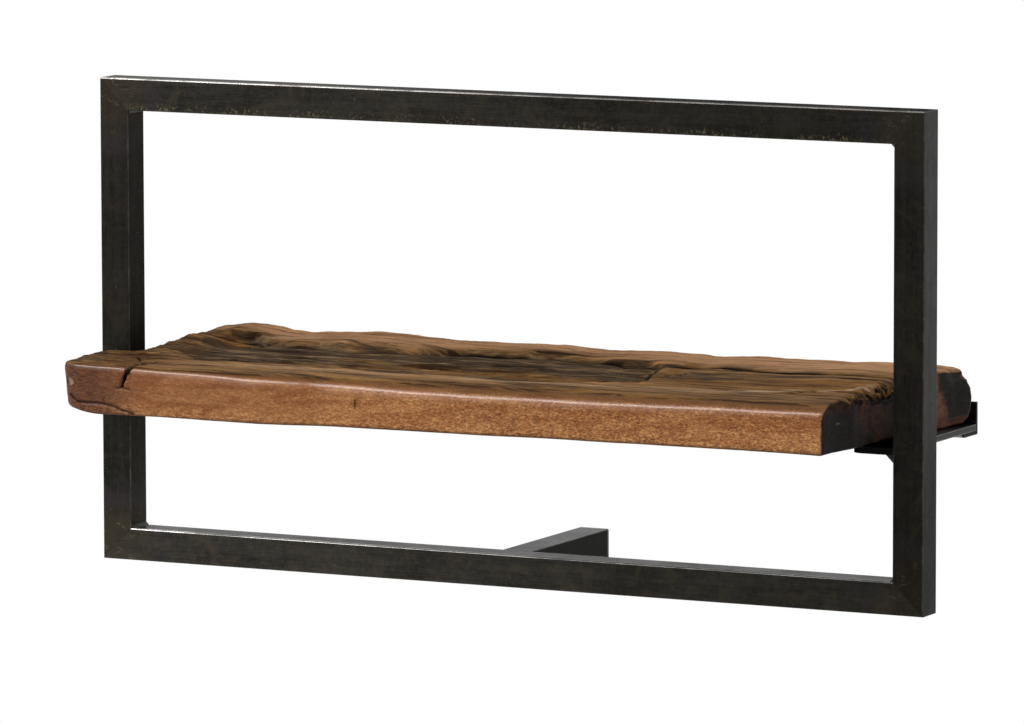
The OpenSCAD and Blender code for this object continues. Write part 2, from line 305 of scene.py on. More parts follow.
def weldHeatGroup():
    # discoloured and ground steel round the four welded corners of the frame
    tree, given, result = newGroup(
        "weldHeat",
        {"Place": ("vector", (0, 0, 0)), "Middle": ("vector", (0, 0, 0)),
         "Corner": ("vector", (337.5, 0, 176.5)), "Reach": ("value", 42.0)},
        {"Near": "value", "Ring": "value", "Ground": "value"},
    )
    offset = vectors("ABSOLUTE", vectors("SUBTRACT", given["Place"], given["Middle"]))
    away = vectors("MULTIPLY", vectors("SUBTRACT", offset, given["Corner"]), (1, 0, 1))
    drift = speckle(given["Place"], (0.045, 0.045, 0.045), 4.0, 0.6, 0.8)
    distance = plus(vectors("LENGTH", away), times(drift, 44.0))
    reach = chain("DIVIDE", (distance, given["Reach"]))
    grind = speckle(given["Place"], (0.10, 0.10, 0.18), 6.0, 0.75, 0.4)
    giveOutputs(tree, result, {
        "Near": spread(reach, 1.75, 0.75),
        "Ring": times(spread(reach, 1.15, 1.35), spread(reach, 1.8, 1.4)),
        "Ground": times(spread(reach, 1.35, 0.8), spread(grind, 0.55, 0.72)),
    })
    return tree


edgeWear = edgeWearGroup()
millSteel = millSteelGroup()
weldHeat = weldHeatGroup()
print("shader groups built")


# Steel finishes

steelLook = {
    "dark": (0.0085, 0.0078, 0.0064),
    "light": (0.024, 0.022, 0.0185),
    "stain": (0.031, 0.0265, 0.0185),
    "bare": (0.34, 0.33, 0.31),
    "ground": (0.30, 0.24, 0.16),
    "brass": (0.1365, 0.1118, 0.0598),
    # painted highlight: bright metal along the rails' front top edges
    "highlightSteel": (0.62, 0.61, 0.59),
    # black of the painted shadow on the bars under the board
    "barShadow": (0.003, 0.003, 0.003),
    "heatBrown": (0.029, 0.0225, 0.0150),
    "heatBlue": (0.022, 0.020, 0.026),
    # painted light: the lighter colour of the tubes' outer side faces
    "litSideColour": (0.020, 0.020, 0.0188),
    # tints of the shine where it is taken off
    "untinted": (1, 1, 1),
    # shine left where it is dimmed; on the bars this is painted shadow
    "dimShineTint": (0.08, 0.08, 0.08),
    # tint of the shine on side faces that take painted shade
    "sideShadeTint": (0.60, 0.60, 0.59),
    # brightness of the frame at its left and right ends
    "leftEnd": (1.1, 1.1, 1.1),
    "rightEnd": (0.62, 0.62, 0.62),
    "roughness": 0.26,
    "relief": 0.00018,
    "wearWidth": 1.1,
    "wearBreakup": 0.22,
    # how much each effect shows on a piece
    "tone": 1.0,
    "stained": 0.3,
    "wear": 0.2,
    "welded": False,
    "litSideShare": 0.85,
    "ticks": 0.1,
    "lowTone": 1.0,
    "upper": 1.0,
    "edgeHighlight": 0.0,
    "dustyTop": False,
    "shadedUnderBoard": False,
    "sidesShaded": False,
}

# the stretch over which an effect comes in: from and to in millimetres, and how strong it is at both
steelSpans = {
    "endFade": (-300, 300),
    "lowTicks": (8.0, 1.0, 0.04, 0.7),
    "highlightEdge": (3.0, 1.6),
    "highlightLength": (-280, 120, 1.0, 0.22),
    "lowDull": (90, -110, 0.0, 0.6),
    "lowShade": (30, -110),
    "topDust": (-330, 150, 0.3, 0.8),
    "barShadowReach": (-96, -118),
    # how far inside a tube's side face its skin begins and is full
    "sideSkin": (0.9, 0.2),
}

# cells per millimetre in x, y and z, detail, roughness and twist
steelGrain = {
    "streak": ((0.1, 0.55, 0.012), 4.0, 0.65),
    "tick": ((0.42, 0.42, 0.34), 4.0, 0.7),
    "patch": ((0.02, 0.02, 0.05), 3.0, 0.6),
    "glintBreakup": ((0.018, 0.05, 0.05), 5.0, 0.7),
}


def middleAndHalf(names):
    boxes = [mmBox(name) for name in names]
    low = Vector([min(box[0][i] for box in boxes) for i in range(3)])
    high = Vector([max(box[1][i] for box in boxes) for i in range(3)])
    return (low + high) / 2, (high - low) / 2


frameMiddle, frameHalf = middleAndHalf(["bottom_rail", "top_rail", "left_upright", "right_upright"])
tubeSize = mmBox("bottom_rail")[1].z - mmBox("bottom_rail")[0].z


def sideDistance(place):
    # how far a place lies from the middle of the frame, to the left or the right
    return axes(vectors("ABSOLUTE", place))[0]


def weldedTube(tree, place, xyz, foot, look, colour, height):
    # heat marks and ground steel round the welds
    corner = (frameHalf.x - tubeSize / 2, 0, frameHalf.z - tubeSize / 2)
    heat = useGroup(tree, weldHeat, {"Place": place, "Middle": tuple(frameMiddle), "Corner": corner})
    colour = blend(times(heat["Near"], 0.35), colour, look["heatBrown"])
    colour = blend(times(heat["Ring"], 0.25), colour, look["heatBlue"])
    colour = blend(times(heat["Ground"], 0.16), colour, look["ground"])
    height = plus(height, times(heat["Ground"], 0.8))
    # the frame darkens towards its right end; painted light: the outer side faces are given a lighter colour,
    # in streaks along the tube
    fade = blend(spread(xyz[0], *steelSpans["endFade"]), look["leftEnd"], look["rightEnd"])
    colour = tinted(1.0, colour, fade)
    streak = speckle(place, *steelGrain["streak"])
    deep, shallow = steelSpans["sideSkin"]
    outer = times(spread(sideDistance(place), frameHalf.x - deep, frameHalf.x - shallow),
                  spread(streak, 0.25, 0.62, 0.35, 1.0), look["litSideShare"])
    colour = blend(outer, colour, look["litSideColour"])
    # short brassy ticks left by the brush, mostly near the lower edge
    tick = speckle(place, *steelGrain["tick"])
    patch = speckle(place, *steelGrain["patch"])
    brassy = times(spread(tick, 0.52, 0.64), spread(patch, 0.42, 0.60, 0.1, 1.0),
                   spread(minus(xyz[2], foot), *steelSpans["lowTicks"]), look["ticks"])
    return blend(brassy, colour, look["brass"]), height, streak


def paintedHighlightLine(place, xyz, middle, half):
    # painted highlight: the front edge of a rail's upper face gets a bright metal colour along its length,
    # standing in for the lamp's reflection on its rounded edge
    back = times(minus(xyz[1], middle.y - half.y), 0.6)
    below = times(minus(middle.z + half.z, xyz[2]), 3.0)
    glintBreakup = speckle(place, *steelGrain["glintBreakup"])
    return times(spread(plus(back, below), *steelSpans["highlightEdge"]), spread(glintBreakup, 0.40, 0.54, 0.4, 1.0),
                 spread(xyz[0], *steelSpans["highlightLength"]))


def sideShineShaded(tree, place, xyz, look, streak):
    # the shine is taken off the side faces: wholly off those that look into the frame, as painted shade,
    # and off the outer ones in streaks and towards the foot
    sideways = axes(vectors("ABSOLUTE", normalOf(tree)))[0]
    dull = spread(sideways, 0.6, 0.95)
    if look["welded"]:
        side, innerLine = sideDistance(place), frameHalf.x - tubeSize
        outward = spread(side, innerLine, frameHalf.x)
        streaky = times(spread(streak, 0.40, 0.62, 0.0, 0.4), outward)
        lower = times(spread(xyz[2], *steelSpans["lowDull"]), outward)
        deep, shallow = steelSpans["sideSkin"]
        inner = spread(side, innerLine + deep, innerLine + shallow)
        dull = times(dull, plus(inner, streaky, lower, limit=True))
    return blend(dull, look["untinted"], look["sideShadeTint"])


def steelMaterial(name, node, stretch, look):
    material, tree = newMaterial(name)
    place = millimetres(tree)
    xyz = axes(place)
    middle, half = middleAndHalf([node])
    settings = {"Place": place, "Stretch": stretch, "Stained": look["stained"]}
    for key in ("dark", "light", "stain"):
        settings[key.title()] = tuple(part * look["tone"] for part in look[key])
    steel = useGroup(tree, millSteel, settings)
    colour, height = steel["Color"], steel["Height"]
    streak, linked = None, {}
    if look["welded"]:
        foot = middle.z - half.z
        colour, height, streak = weldedTube(tree, place, xyz, foot, look, colour, height)
    wear = useGroup(tree, edgeWear, {
        "Place": place, "Middle": tuple(middle), "Half": tuple(half), "Width": look["wearWidth"],
        "Breakup": look["wearBreakup"],
    })["Mask"]
    colour = blend(times(wear, look["wear"]), colour, look["bare"])
    roughness = minus(plus(steel["Roughness"], look["roughness"]), times(wear, 0.1))
    if look["lowTone"] != 1.0:
        colour = tinted(spread(xyz[2], *steelSpans["lowShade"]), colour, (look["lowTone"],) * 3)
    if look["upper"] != 1.0:
        dusty = spread(axes(normalOf(tree))[2], 0.8, 0.98)
        colour = tinted(dusty, colour, (look["upper"],) * 3)
    # painted highlight along the front top edge of a rail
    if look["edgeHighlight"]:
        line = paintedHighlightLine(place, xyz, middle, half)
        colour = blend(times(line, look["edgeHighlight"]), colour, look["highlightSteel"])
        roughness = minus(roughness, times(line, 0.08))
    if look["dustyTop"]:
        # dust dulls the upper face, more to the right
        hazy = times(dusty, spread(xyz[0], *steelSpans["topDust"]), minus(1.0, line))
        linked["Specular Tint"] = blend(hazy, look["untinted"], look["dimShineTint"])
    if look["shadedUnderBoard"]:
        # painted shadow: the fronts of the bars, under the board, are made black and lose their shine
        barShadow = spread(xyz[1], *steelSpans["barShadowReach"])
        colour = blend(times(barShadow, 0.95), colour, look["barShadow"])
        linked["Specular Tint"] = blend(barShadow, look["untinted"], look["dimShineTint"])
    # painted shade on the side faces, by taking down their shine
    if look["sidesShaded"]:
        linked["Specular Tint"] = sideShineShaded(tree, place, xyz, look, streak)
    finishMaterial(tree, colour, roughness, height, look["relief"], metallic=1.0, linked=linked)
    return material


def assign(node, material):
    slots = nodes[node].data.materials
    if slots:
        slots[0] = material
    else:
        slots.append(material)


# noise cells per millimetre for scratches that run along x, y or z
scratches = {"x": (0.035, 0.9, 0.9), "y": (0.9, 0.035, 0.9), "z": (0.9, 0.9, 0.035)}

tubeLook = dict(steelLook, stained=0.55, wear=0.12, welded=True, upper=0.85)
barLook = dict(steelLook, dark=(0.008, 0.008, 0.0077), light=(0.026, 0.026, 0.0255), relief=0.00014)
spacerLook = dict(steelLook, dark=(0.0075, 0.0075, 0.0066), light=(0.014, 0.014, 0.0130), stained=0.25,
                  sidesShaded=True)
weldLook = dict(steelLook, dark=(0.008, 0.0075, 0.0065), light=(0.040, 0.037, 0.032), relief=0.0004,
                roughness=0.2, stained=0.6, wear=0.0)
screwLook = dict(steelLook, dark=(0.35, 0.35, 0.34), light=(0.6, 0.6, 0.58), relief=0.00006, roughness=0.12,
                 stained=0.1, wear=0.0)

steelPieces = {
    "bottom_rail": ("bottomRailSteel", scratches["x"], dict(tubeLook, tone=1.5, edgeHighlight=0.8)),
    "top_rail": ("topRailSteel", scratches["x"],
                 dict(tubeLook, tone=0.9, edgeHighlight=0.6, ticks=0.8, upper=0.55, dustyTop=True)),
    "left_upright": ("leftUprightSteel", scratches["z"], dict(tubeLook, tone=0.62, lowTone=1.5, sidesShaded=True)),
    "right_upright": ("rightUprightSteel", scratches["z"], dict(tubeLook, tone=0.85, sidesShaded=True)),
    "spacer_tube": ("spacerSteel", scratches["y"], spacerLook),
    "board_screws": ("screwZinc", (0.6, 0.6, 0.6), screwLook),
}
for side in ("left", "right"):
    steelPieces[side + "_support_bar"] = (side + "BarSteel", scratches["y"], dict(barLook, shadedUnderBoard=True))
    steelPieces[side + "_wall_angle"] = (side + "AngleSteel", scratches["x"],
                                         dict(barLook, stained=0.35, sidesShaded=True))
for node, (materialName, stretch, look) in steelPieces.items():
    assign(node, steelMaterial(materialName, node, stretch, look))

weldMetal = steelMaterial("weldMetal", "bottom_rail", (0.4, 0.4, 0.4), weldLook)
for node in nodes:
    if "weld" in node:
        assign(node, weldMetal)

capLook = {
    "grain": ((0.8, 0.8, 0.8), 4.0, 0.6),
    "dust": ((0.08, 0.08, 0.08), 5.0, 0.65),
    "black": (0.012, 0.012, 0.012),
    "dusty": (0.05, 0.047, 0.043),
    "relief": 0.00008,
}


def capMaterial():
    material, tree = newMaterial("capPlastic")
    place = millimetres(tree)
    grain = speckle(place, *capLook["grain"])
    dust = speckle(place, *capLook["dust"])
    colour = blend(spread(dust, 0.45, 0.7, 0.0, 0.5), capLook["black"], capLook["dusty"])
    finishMaterial(tree, colour, spread(grain, 0.2, 0.8, 0.45, 0.65), grain, capLook["relief"])
    return material


assign("spacer_cap", capMaterial())
print("steel finishes assigned")


# The board

boardLow, boardHigh = mmBox("shelf_board")
uprightLow, uprightHigh = mmBox("left_upright")

board = {
    "leftEnd": boardLow.x,
    "bodyLeft": uprightHigh.x + 5.0,
    "notchLine": uprightLow.y - 2.0,
    "backLine": boardHigh.y - 0.5,
    "foot": boardLow.z,
    # rough place of the front edge, from which the slant of the right end is read
    "frontGuess": -243,
    # grid: columns in the left lobe and in the body, rows in front of the notch and behind, rows in the sides
    "columns": (15, 250),
    "rows": (66, 124),
    "wallRows": 36,
    # the lobe's corner is rounder towards the foot by this much
    "lobeUndercut": 7,
    "lobeRadius": 20.0,
    "backRadius": 7.0,
    "frontRightRadius": 3.0,
    "bottomBevel": 2.2,
    # front edge seen from above: x, y
    "frontEdge": [(-344, -243.4), (-222, -243.8), (-173, -242.2), (-103, -230.5), (3, -228.4),
                  (80, -222.9), (217, -221.0), (296, -222.3)],
    # right end seen from above: y, x
    "rightEnd": [(-222, 295.8), (-176, 300.6), (-118, 303.0), (-55, 311.0), (-30, 316.5), (-7, 322.4)],
    # how the back right corner swells and steps in with height: z, x
    "cornerShape": [(-9, -6.0), (-6, -2.5), (-1, 1.4), (5, 3.0), (8, 3.4), (13, 3.8), (19.5, 2.9),
                    (26, 0.0), (28.5, -3.2), (30.5, -4.2), (34, -3.8), (40, -3.6)],
    # height of the top just behind the worn front edge, and of the crest along the back: x, z
    "frontTop": [(-344, 30.4), (-300, 30.4), (-225, 30.2), (-170, 29.8), (-109, 29.2), (-37, 29.0),
                 (300, 28.8)],
    "backCrest": [(-320, 36.4), (-308, 38.8), (-295, 39.3), (-280, 38.8), (-268, 37.6), (-255, 35.5),
                  (-240, 34.5), (-222, 35.9), (-205, 36.6), (-180, 38.1), (-155, 37.4), (-130, 36.0),
                  (-100, 34.6), (-80, 35.0), (-45, 35.8), (-20, 36.2), (5, 34.7), (25, 34.1), (60, 35.3),
                  (100, 34.8), (120, 33.9), (145, 35.3), (200, 35.3), (225, 35.9), (250, 37.0),
                  (300, 37.0), (312, 36.0), (324, 34.0)],
    "ridgeRise": 2.2,
    # height of the top along the left side, behind the notch: y, z
    "leftTop": [(-165, 30.6), (-135, 31.4), (-105, 33.4), (-85, 35.4), (-75, 36.2), (-62, 35.2),
                (-53, 34.6), (-42, 35.2), (-30, 36.4), (-7, 36.6)],
    # wear of the front top edge: x, depth and x, drop
    "wearDepth": [(-344, 5), (-300, 7), (-225, 10.5), (-170, 15), (-109, 19.5), (-37, 25), (23, 27.5),
                  (80, 28), (150, 26.5), (220, 24), (300, 21)],
    "wearDrop": [(-344, 4.2), (-300, 4.8), (-225, 7.8), (-170, 11.0), (-109, 13.2), (-37, 14.0),
                 (23, 14.4), (80, 14.6), (150, 13.6), (220, 12.0), (300, 10.0)],
    # wear of the other top edges: depth and drop
    "rimWear": {"back": (8, 4.5), "lobe": (6, 4.5), "body": (2.5, 1.4), "right": (2.2, 1.6),
                "notch": (3.5, 2.2)},
    # lines along the grain: front foot of the back ridge, and front edge of the weathered channel
    "ridgeLine": [(-320, -44), (-285, -50), (-221, -73), (-142, -76), (-78, -57), (-3, -54), (72, -62),
                  (98, -74), (144, -66), (200, -71), (262, -74), (322, -76)],
    "channelLine": [(-320, -120), (-290, -152), (-248, -184), (-167, -175), (-90, -180), (-10, -188),
                    (60, -183), (118, -162)],
    "channelFloor": 28.4,
    # how far the broken top of the right end lies below the plane, and how far it slopes there: y, depth
    "endChips": [(-192, 0.0), (-182, 1.5), (-174, 3.5), (-164, 4.5), (-158, 1.6), (-151, 2.0),
                 (-146, 5.0), (-136, 3.5), (-128, 4.5), (-112, 4.0), (-100, 3.0), (-84, 1.0), (-60, 0.0)],
    "endSlope": [(-172, 0.0), (-155, 1.8), (-140, 4.0), (-122, 6.0), (-105, 6.5), (-90, 5.0), (-72, 2.0),
                 (-58, 0.0)],
    # stretches of x or y over which a form comes in: from and to
    "channelLeft": (-318, -270),
    "tongueSlant": (-65, -155),
    "leftTopX": (-292, -318),
    "leftTopY": (-165, -145),
    "lobeTop": (-305, -325),
    "weathered": (-228, -200),
    "lobeLift": (-306, -332),
    "besideLobe": (-200, -240),
    "liftFront": (-190, -225),
    "lobeBevel": (-318, -342),
    "cornerX": (18, 2),
    "cornerY": (-44, -14),
    # where the top starts to rise to the back, and over how long a way
    "planeFront": -225,
    "planeRun": 170,
    # where the channel's right end lies
    "tongueEnd": 94,
    # weathered wood: size, cells per millimetre along and across the grain, seed and octaves
    "relief": {
        "floor": (0.9, 0.012, 0.11, 10, 4),
        "ribs": (0.9, 0.006, 0.075, 22, 3),
        "furrow": (0.85, 0.011, 0.19, 11, 4),
        "swell": (0.7, 0.013, 0.035, 12, 3),
        "fine": (0.32, 0.05, 0.5, 13, 3),
        "slope": (6.0, 0.05, 0.16, 26, 3),
        "jag": (1.6, 0.16, 0.24, 14, 3),
        "splinter": (1.0, 0.07, 0.30, 27, 3),
        "rim": (0.5, 0.06, 0.06, 16, 3),
    },
    # cracks on the top: half width, depth, raggedness and path seen from above
    "topCracks": [
        (2.5, 7.0, 0.1, [(-284, -262), (-281, -246), (-279, -236), (-275, -224), (-270, -212)]),
        (1.2, 2.2, 0.5, [(-304, -188), (-294, -200), (-286, -214), (-278, -211), (-270, -219)]),
        (1.2, 2.2, 0.5, [(-288, -212), (-284, -200), (-278, -194), (-262, -192)]),
        (2.0, 3.2, 1.2, [(-268, -179), (-252, -166), (-236, -176), (-225, -162), (-209, -150)]),
        (2.4, 4.5, 1.0, [(-226, -161), (-204, -158), (-184, -146), (-160, -150)]),
        (2.6, 4.5, 1.0, [(-200, -174), (-150, -171), (-136, -169), (-119, -169), (-94, -165), (-76, -172)]),
        (2.2, 3.0, 0.8, [(-72, -178), (-29, -174), (23, -176), (67, -172), (92, -162)]),
        (3.0, 1.6, 0.5, [(-130, -76), (-78, -61), (-10, -58), (50, -64), (84, -80)]),
        (1.3, 3.0, 1.1, [(-100, -142), (-54, -142), (-25, -148), (-5, -153), (30, -150)]),
        (1.3, 3.0, 1.1, [(-66, -114), (-24, -116), (1, -131), (40, -141), (70, -148), (90, -158)]),
        (2.2, 2.0, 1.0, [(115, -153), (106, -120), (97, -78)]),
        (5.0, 5.0, 0.3, [(81, -158), (92, -161), (106, -162), (117, -155)]),
        (2.4, 2.0, 0.6, [(117, -140), (121, -112), (133, -102), (165, -92), (219, -94), (254, -98),
                         (312, -98)]),
        (1.5, 4.0, 1.0, [(186, -178), (219, -180), (243, -172), (268, -162), (286, -152), (302, -146)]),
        (4.0, 2.6, 0.4, [(94, -79), (110, -75), (125, -73), (144, -68), (176, -74), (236, -77), (282, -78),
                         (324, -80)]),
        (1.5, 3.0, 0.5, [(-270, -84), (-262, -88), (-250, -62)]),
        (1.4, 2.4, 0.8, [(-318, -64), (-280, -66), (-240, -72)]),
        (1.0, 1.4, 0.7, [(-255, -28), (-215, -24), (-180, -30)]),
    ],
    # colour laid along paths on the top: half width, strength and path seen from above
    "paint": {
        "gold": [
            (15, 1.0, [(-316, -50), (-290, -64), (-262, -84)]),
            (6, 0.8, [(-225, -176), (-200, -170), (-186, -162)]),
            (12, 0.8, [(-190, -158), (-160, -166), (-130, -160), (-95, -160)]),
            (27, 0.85, [(-110, -142), (-40, -146), (30, -156), (80, -162)]),
            (8, 0.5, [(-210, -128), (-150, -118), (-100, -126)]),
            (9, 1.0, [(124, -164), (116, -120), (112, -80), (116, -58)]),
            (42, 0.9, [(120, -150), (220, -132), (320, -128)]),
        ],
        "pale": [
            (4, 0.9, [(165, -174), (212, -174), (236, -167), (264, -157), (284, -146), (291, -130),
                      (294, -112)]),
            (6, 0.3, [(138, -62), (200, -66), (279, -58)]),
            (5, 0.5, [(-276, -56), (-240, -54), (-205, -60)]),
            (7, 0.45, [(-92, -118), (-70, -112)]),
            (5, 0.3, [(-205, -75), (-178, -71)]),
            (8, 0.45, [(-250, -205), (-120, -196), (0, -196), (120, -186), (240, -184)]),
        ],
        # shade: darker wood; the first and fifth paths are painted shadow at the foot of the back ridge
        "shade": [
            (3.0, 0.85, [(-250, -66), (-183, -66), (-142, -80), (-75, -64), (14, -70), (68, -92)]),
            (3.0, 0.8, [(-66, -120), (-36, -140), (2, -145), (34, -152), (61, -151)]),
            (3.0, 0.75, [(-154, -149), (-112, -175), (-54, -176), (5, -190), (66, -187)]),
            (30, 0.4, [(-342, -222), (-312, -196), (-300, -186)]),
            (6, 0.9, [(49, -90), (80, -98), (97, -76), (144, -70), (200, -77), (320, -80)]),
            (10, 0.9, [(128, -104), (146, -106), (165, -94), (219, -96), (270, -100)]),
            (15, 1.0, [(150, -124), (180, -118)]),
            (26, 0.4, [(120, -128), (160, -112), (230, -118)]),
            (10, 0.7, [(220, -217), (229, -215)]),
            (8, 0.5, [(72, -232), (88, -230)]),
            (8, 0.8, [(-320, -108), (-318, -66), (-300, -44)]),
            (7, 0.6, [(-342, -190), (-325, -176), (-312, -166)]),
        ],
    },
    # cracks on the front: half width, its share at the lower end, depth, darkness of the painted shade in
    # them and path in x and z
    "frontCracks": [
        (2.3, 0.35, 6.0, 1.0, [(-276, 31.5), (-279, 28), (-282, 24), (-284.3, 19.5), (-286, 14.5)]),
        (1.2, 1.0, 0.8, 0.45, [(-291, 13.2), (-286, 13.4), (-279, 12.6)]),
        (0.6, 1.0, 0.3, 0.38, [(-282, 12.9), (-271, 12.4), (-258, 10.8), (-245, 9.7), (-231, 9.2)]),
        (1.3, 1.0, 1.1, 0.52, [(-333, 5.4), (-330, 3.2), (-326, 0.8), (-317, 0.6), (-308, 0.6), (-299, -0.1),
                               (-292, -1.6), (-284.5, -4.5), (-275.5, -5.9)]),
        (2.2, 1.0, 0.5, 0.16, [(-330, 4.0), (-322, 3.2), (-310, 2.8)]),
        (1.9, 1.0, 0.6, 0.54, [(-88.8, 13.8), (-89.8, 11.2)]),
        (1.6, 1.0, 0.6, 0.50, [(-90.2, 9.6), (-89.4, 7.0)]),
        (0.8, 1.0, 0.3, 0.3, [(278, 2.0), (282, 3.5), (286, 0.5)]),
    ],
    # the nick in the left end, seen from the front: middle, reach and depth
    "nick": {"x": -334.0, "z": 15.4, "reachX": 7.0, "reachZ": 4.8, "depth": 1.2},
}

masksKept = ["crackShade", "channel", "ridge", "endGrain", "worn", "skin", "gold", "pale", "shade"]


def pathGap(path, x, y):
    # distance to a path, and how far along it the nearest place lies
    best, place = 1e9, 0.0
    for k, ((ax, ay), (bx, by)) in enumerate(zip(path, path[1:])):
        dx, dy = bx - ax, by - ay
        t = clamp(((x - ax) * dx + (y - ay) * dy) / (dx * dx + dy * dy))
        gap = math.hypot(x - ax - t * dx, y - ay - t * dy)
        if gap < best:
            best, place = gap, (k + t) / (len(path) - 1)
    return best, place


def near(path, x, y, reach):
    return (
        min(p[0] for p in path) - reach < x < max(p[0] for p in path) + reach
        and min(p[1] for p in path) - reach < y < max(p[1] for p in path) + reach
    )


def tapered(place, start, steepness):
    # full along the middle of a path, less at both ends
    return min(1.0, start + steepness * place, start + steepness * (1 - place))


def uneven(name, x, y):
    height, alongGrain, acrossGrain, seed, octaves = board["relief"][name]
    return height * rough(x * alongGrain, y * acrossGrain, 0, seed, octaves)


def paintAt(x, y, masks):
    warpX, warpY = x + 9 * wave(x * 0.03, y * 0.05, 0, 90), y + 4 * wave(x * 0.035, y * 0.05, 0, 91)
    for layer, strokes in board["paint"].items():
        for width, strength, path in strokes:
            if near(path, x, y, width + 10):
                gap, place = pathGap(path, warpX, warpY)
                amount = strength * ease(width, width * 0.25, gap) * tapered(place, 0.3, 6)
                masks[layer] = max(masks.get(layer, 0.0), amount)


def frontLine(x):
    return along(board["frontEdge"], x) + 0.5 * wave(x * 0.03, 3.1, 0, 1) + 0.25 * wave(x * 0.11, 5.7, 0, 2)


def rightLine(y):
    return along(board["rightEnd"], y) + 0.3 * wave(y * 0.07, 1.3, 0, 3)


def backEdge(x):
    return board["backLine"] - 1.2 - 1.2 * wave(x * 0.02, 8.8, 0, 4) - 0.5 * wave(x * 0.09, 2.2, 0, 5)


def crackAt(x, y):
    # how deep and how open the cracks are at a place on the top, and how dark the painted shade in them is
    depth, dark = 0.0, 0.0
    for index, (width, crackDepth, ragged, path) in enumerate(board["topCracks"]):
        if not near(path, x, y, width * 2.2 + 4):
            continue
        shift = 1.7 * wave(x * 0.045, y * 0.02, 0, 20 + index) + 0.8 * wave(x * 0.21, 0, 0, 40 + index)
        gap, place = pathGap(path, x, y + ragged * shift)
        taper = tapered(place, 0.25, 5)
        reach = 1.6 * width * taper * (1.0 + 0.7 * ragged * wave(x * 0.12, y * 0.1, 0, 60 + index))
        if gap < reach:
            share = (1 - (gap / reach) ** 2) ** 2
            depth = max(depth, crackDepth * taper * share)
            dark = max(dark, share * (0.4 + 0.6 * taper) * min(1.0, 0.5 + crackDepth / 7))
    return depth, dark


def channelShare(x, y):
    # 1 inside the weathered channel, 0 outside it
    wobble = 2.2 * wave(x * 0.03, y * 0.03, 0, 7) + 1.0 * wave(x * 0.13, y * 0.1, 0, 8)
    ridgeFoot, frontEdge = along(board["ridgeLine"], x), along(board["channelLine"], x)
    back = ease(ridgeFoot + 1.5, ridgeFoot - 2.5, y + wobble)
    front = ease(frontEdge - 3, frontEdge + 5, y + wobble)
    tongue = board["tongueEnd"] + 20 * ease(*board["tongueSlant"], y)
    tongue += 6 * wave(y * 0.05, 0, 0, 9)
    tongue += 3 * wave(y * 0.22, x * 0.02, 0, 25)
    return back * front * ease(tongue + 5, tongue - 7, x) * ease(*board["channelLeft"], x)


def topPlane(x, y):
    # the top without its weathering, and how far a place lies up on the ridge
    front, crest = along(board["frontTop"], x), along(board["backCrest"], x)
    lineBack = along(board["ridgeLine"], x)
    ridge = ease(lineBack - 3, lineBack + 16, y)
    backward = clamp((y - board["planeFront"]) / board["planeRun"])
    middle = front + (crest - board["ridgeRise"] - front) * backward
    plane = middle + (crest - middle) * ridge
    left = (along(board["leftTop"], y) - plane) * ease(*board["leftTopX"], x) * ease(*board["leftTopY"], y)
    return plane + left, ridge


def topSurface(x, y):
    # height of the top, with the colour masks that go with it
    plane, ridge = topPlane(x, y)
    lobe = ease(*board["lobeTop"], x) * bump(y, -208, 26) * 1.2
    share = channelShare(x, y)
    floor = min(plane, board["channelFloor"] + uneven("floor", x, y))
    z = plane + (floor - plane) * share + lobe
    weathered = ease(*board["weathered"], y)
    ribs = uneven("ribs", x, y) * weathered * (1 - 0.7 * ridge)
    furrow = uneven("furrow", x, y) * (0.35 + 1.25 * share + 0.55 * weathered * (1 - ridge))
    swell = uneven("swell", x, y) * (1 - 0.5 * ridge)
    fine = uneven("fine", x, y) * (0.3 + share + 0.3 * weathered)
    frontGap = y - frontLine(x)
    depth, dark = crackAt(x, y)
    depth *= ease(-1, 6, frontGap)
    # the worn front edge was planed smooth
    wornReach = along(board["wearDepth"], x)
    smooth = ease(wornReach * 0.8, wornReach * 1.5, frontGap)
    z += (furrow + fine + ribs) * (0.06 + 0.94 * smooth) + swell * (0.3 + 0.7 * smooth) - depth
    # broken wood along the top of the right end: a short slope, chips and splinters, with painted shade in
    # the chips and along the splinters
    endGap = rightLine(y) - x
    fall = along(board["endSlope"], y)
    slope = ease(15, 3, endGap + uneven("slope", x, y))
    jag = clamp(0.5 + uneven("jag", x, y))
    chipReach = 2.5 + 9 * jag
    chip = along(board["endChips"], y) * (0.8 + 0.35 * jag) * ease(chipReach, chipReach * 0.45, endGap)
    z -= fall * slope + chip
    splinter = ease(0.02, 0.14, uneven("splinter", x, y)) * bump(slope, 0.6, 0.45)
    dark = max(dark, 0.8 * ease(1.2, 4.5, chip + 1.5 * wave(x * 0.3, y * 0.35, 0, 15)))
    dark = max(dark, 0.75 * splinter * ease(0.5, 2.5, fall))
    masks = {"crackShade": dark, "channel": share, "ridge": ridge}
    paintAt(x, y, masks)
    return z, masks


def faceCracks(x, z):
    # how deep the cracks are at a place on the front, and how dark the painted shade in them is
    depth, dark = 0.0, 0.0
    for index, (width, narrow, crackDepth, darkness, path) in enumerate(board["frontCracks"]):
        if not near(path, x, z, 6):
            continue
        gap, place = pathGap(path, x, z + 0.5 * wave(x * 0.15, 0, 0, 70 + index))
        reach = width * (1.0 + 0.35 * wave(x * 0.2, z * 0.3, 0, 80 + index)) * 1.7
        reach *= 1 - place * (1 - narrow)
        if gap < reach:
            share = (1 - (gap / reach) ** 2) ** 2
            depth = max(depth, crackDepth * share)
            dark = max(dark, share * darkness)
    return depth, dark


def nickAt(x, z):
    nick = board["nick"]
    away = math.hypot((x - nick["x"]) / nick["reachX"], (z - nick["z"]) / nick["reachZ"])
    return ease(1.0, 0.3, away) * (0.8 + 0.6 * wave(x * 0.3, z * 0.4, 0, 95))


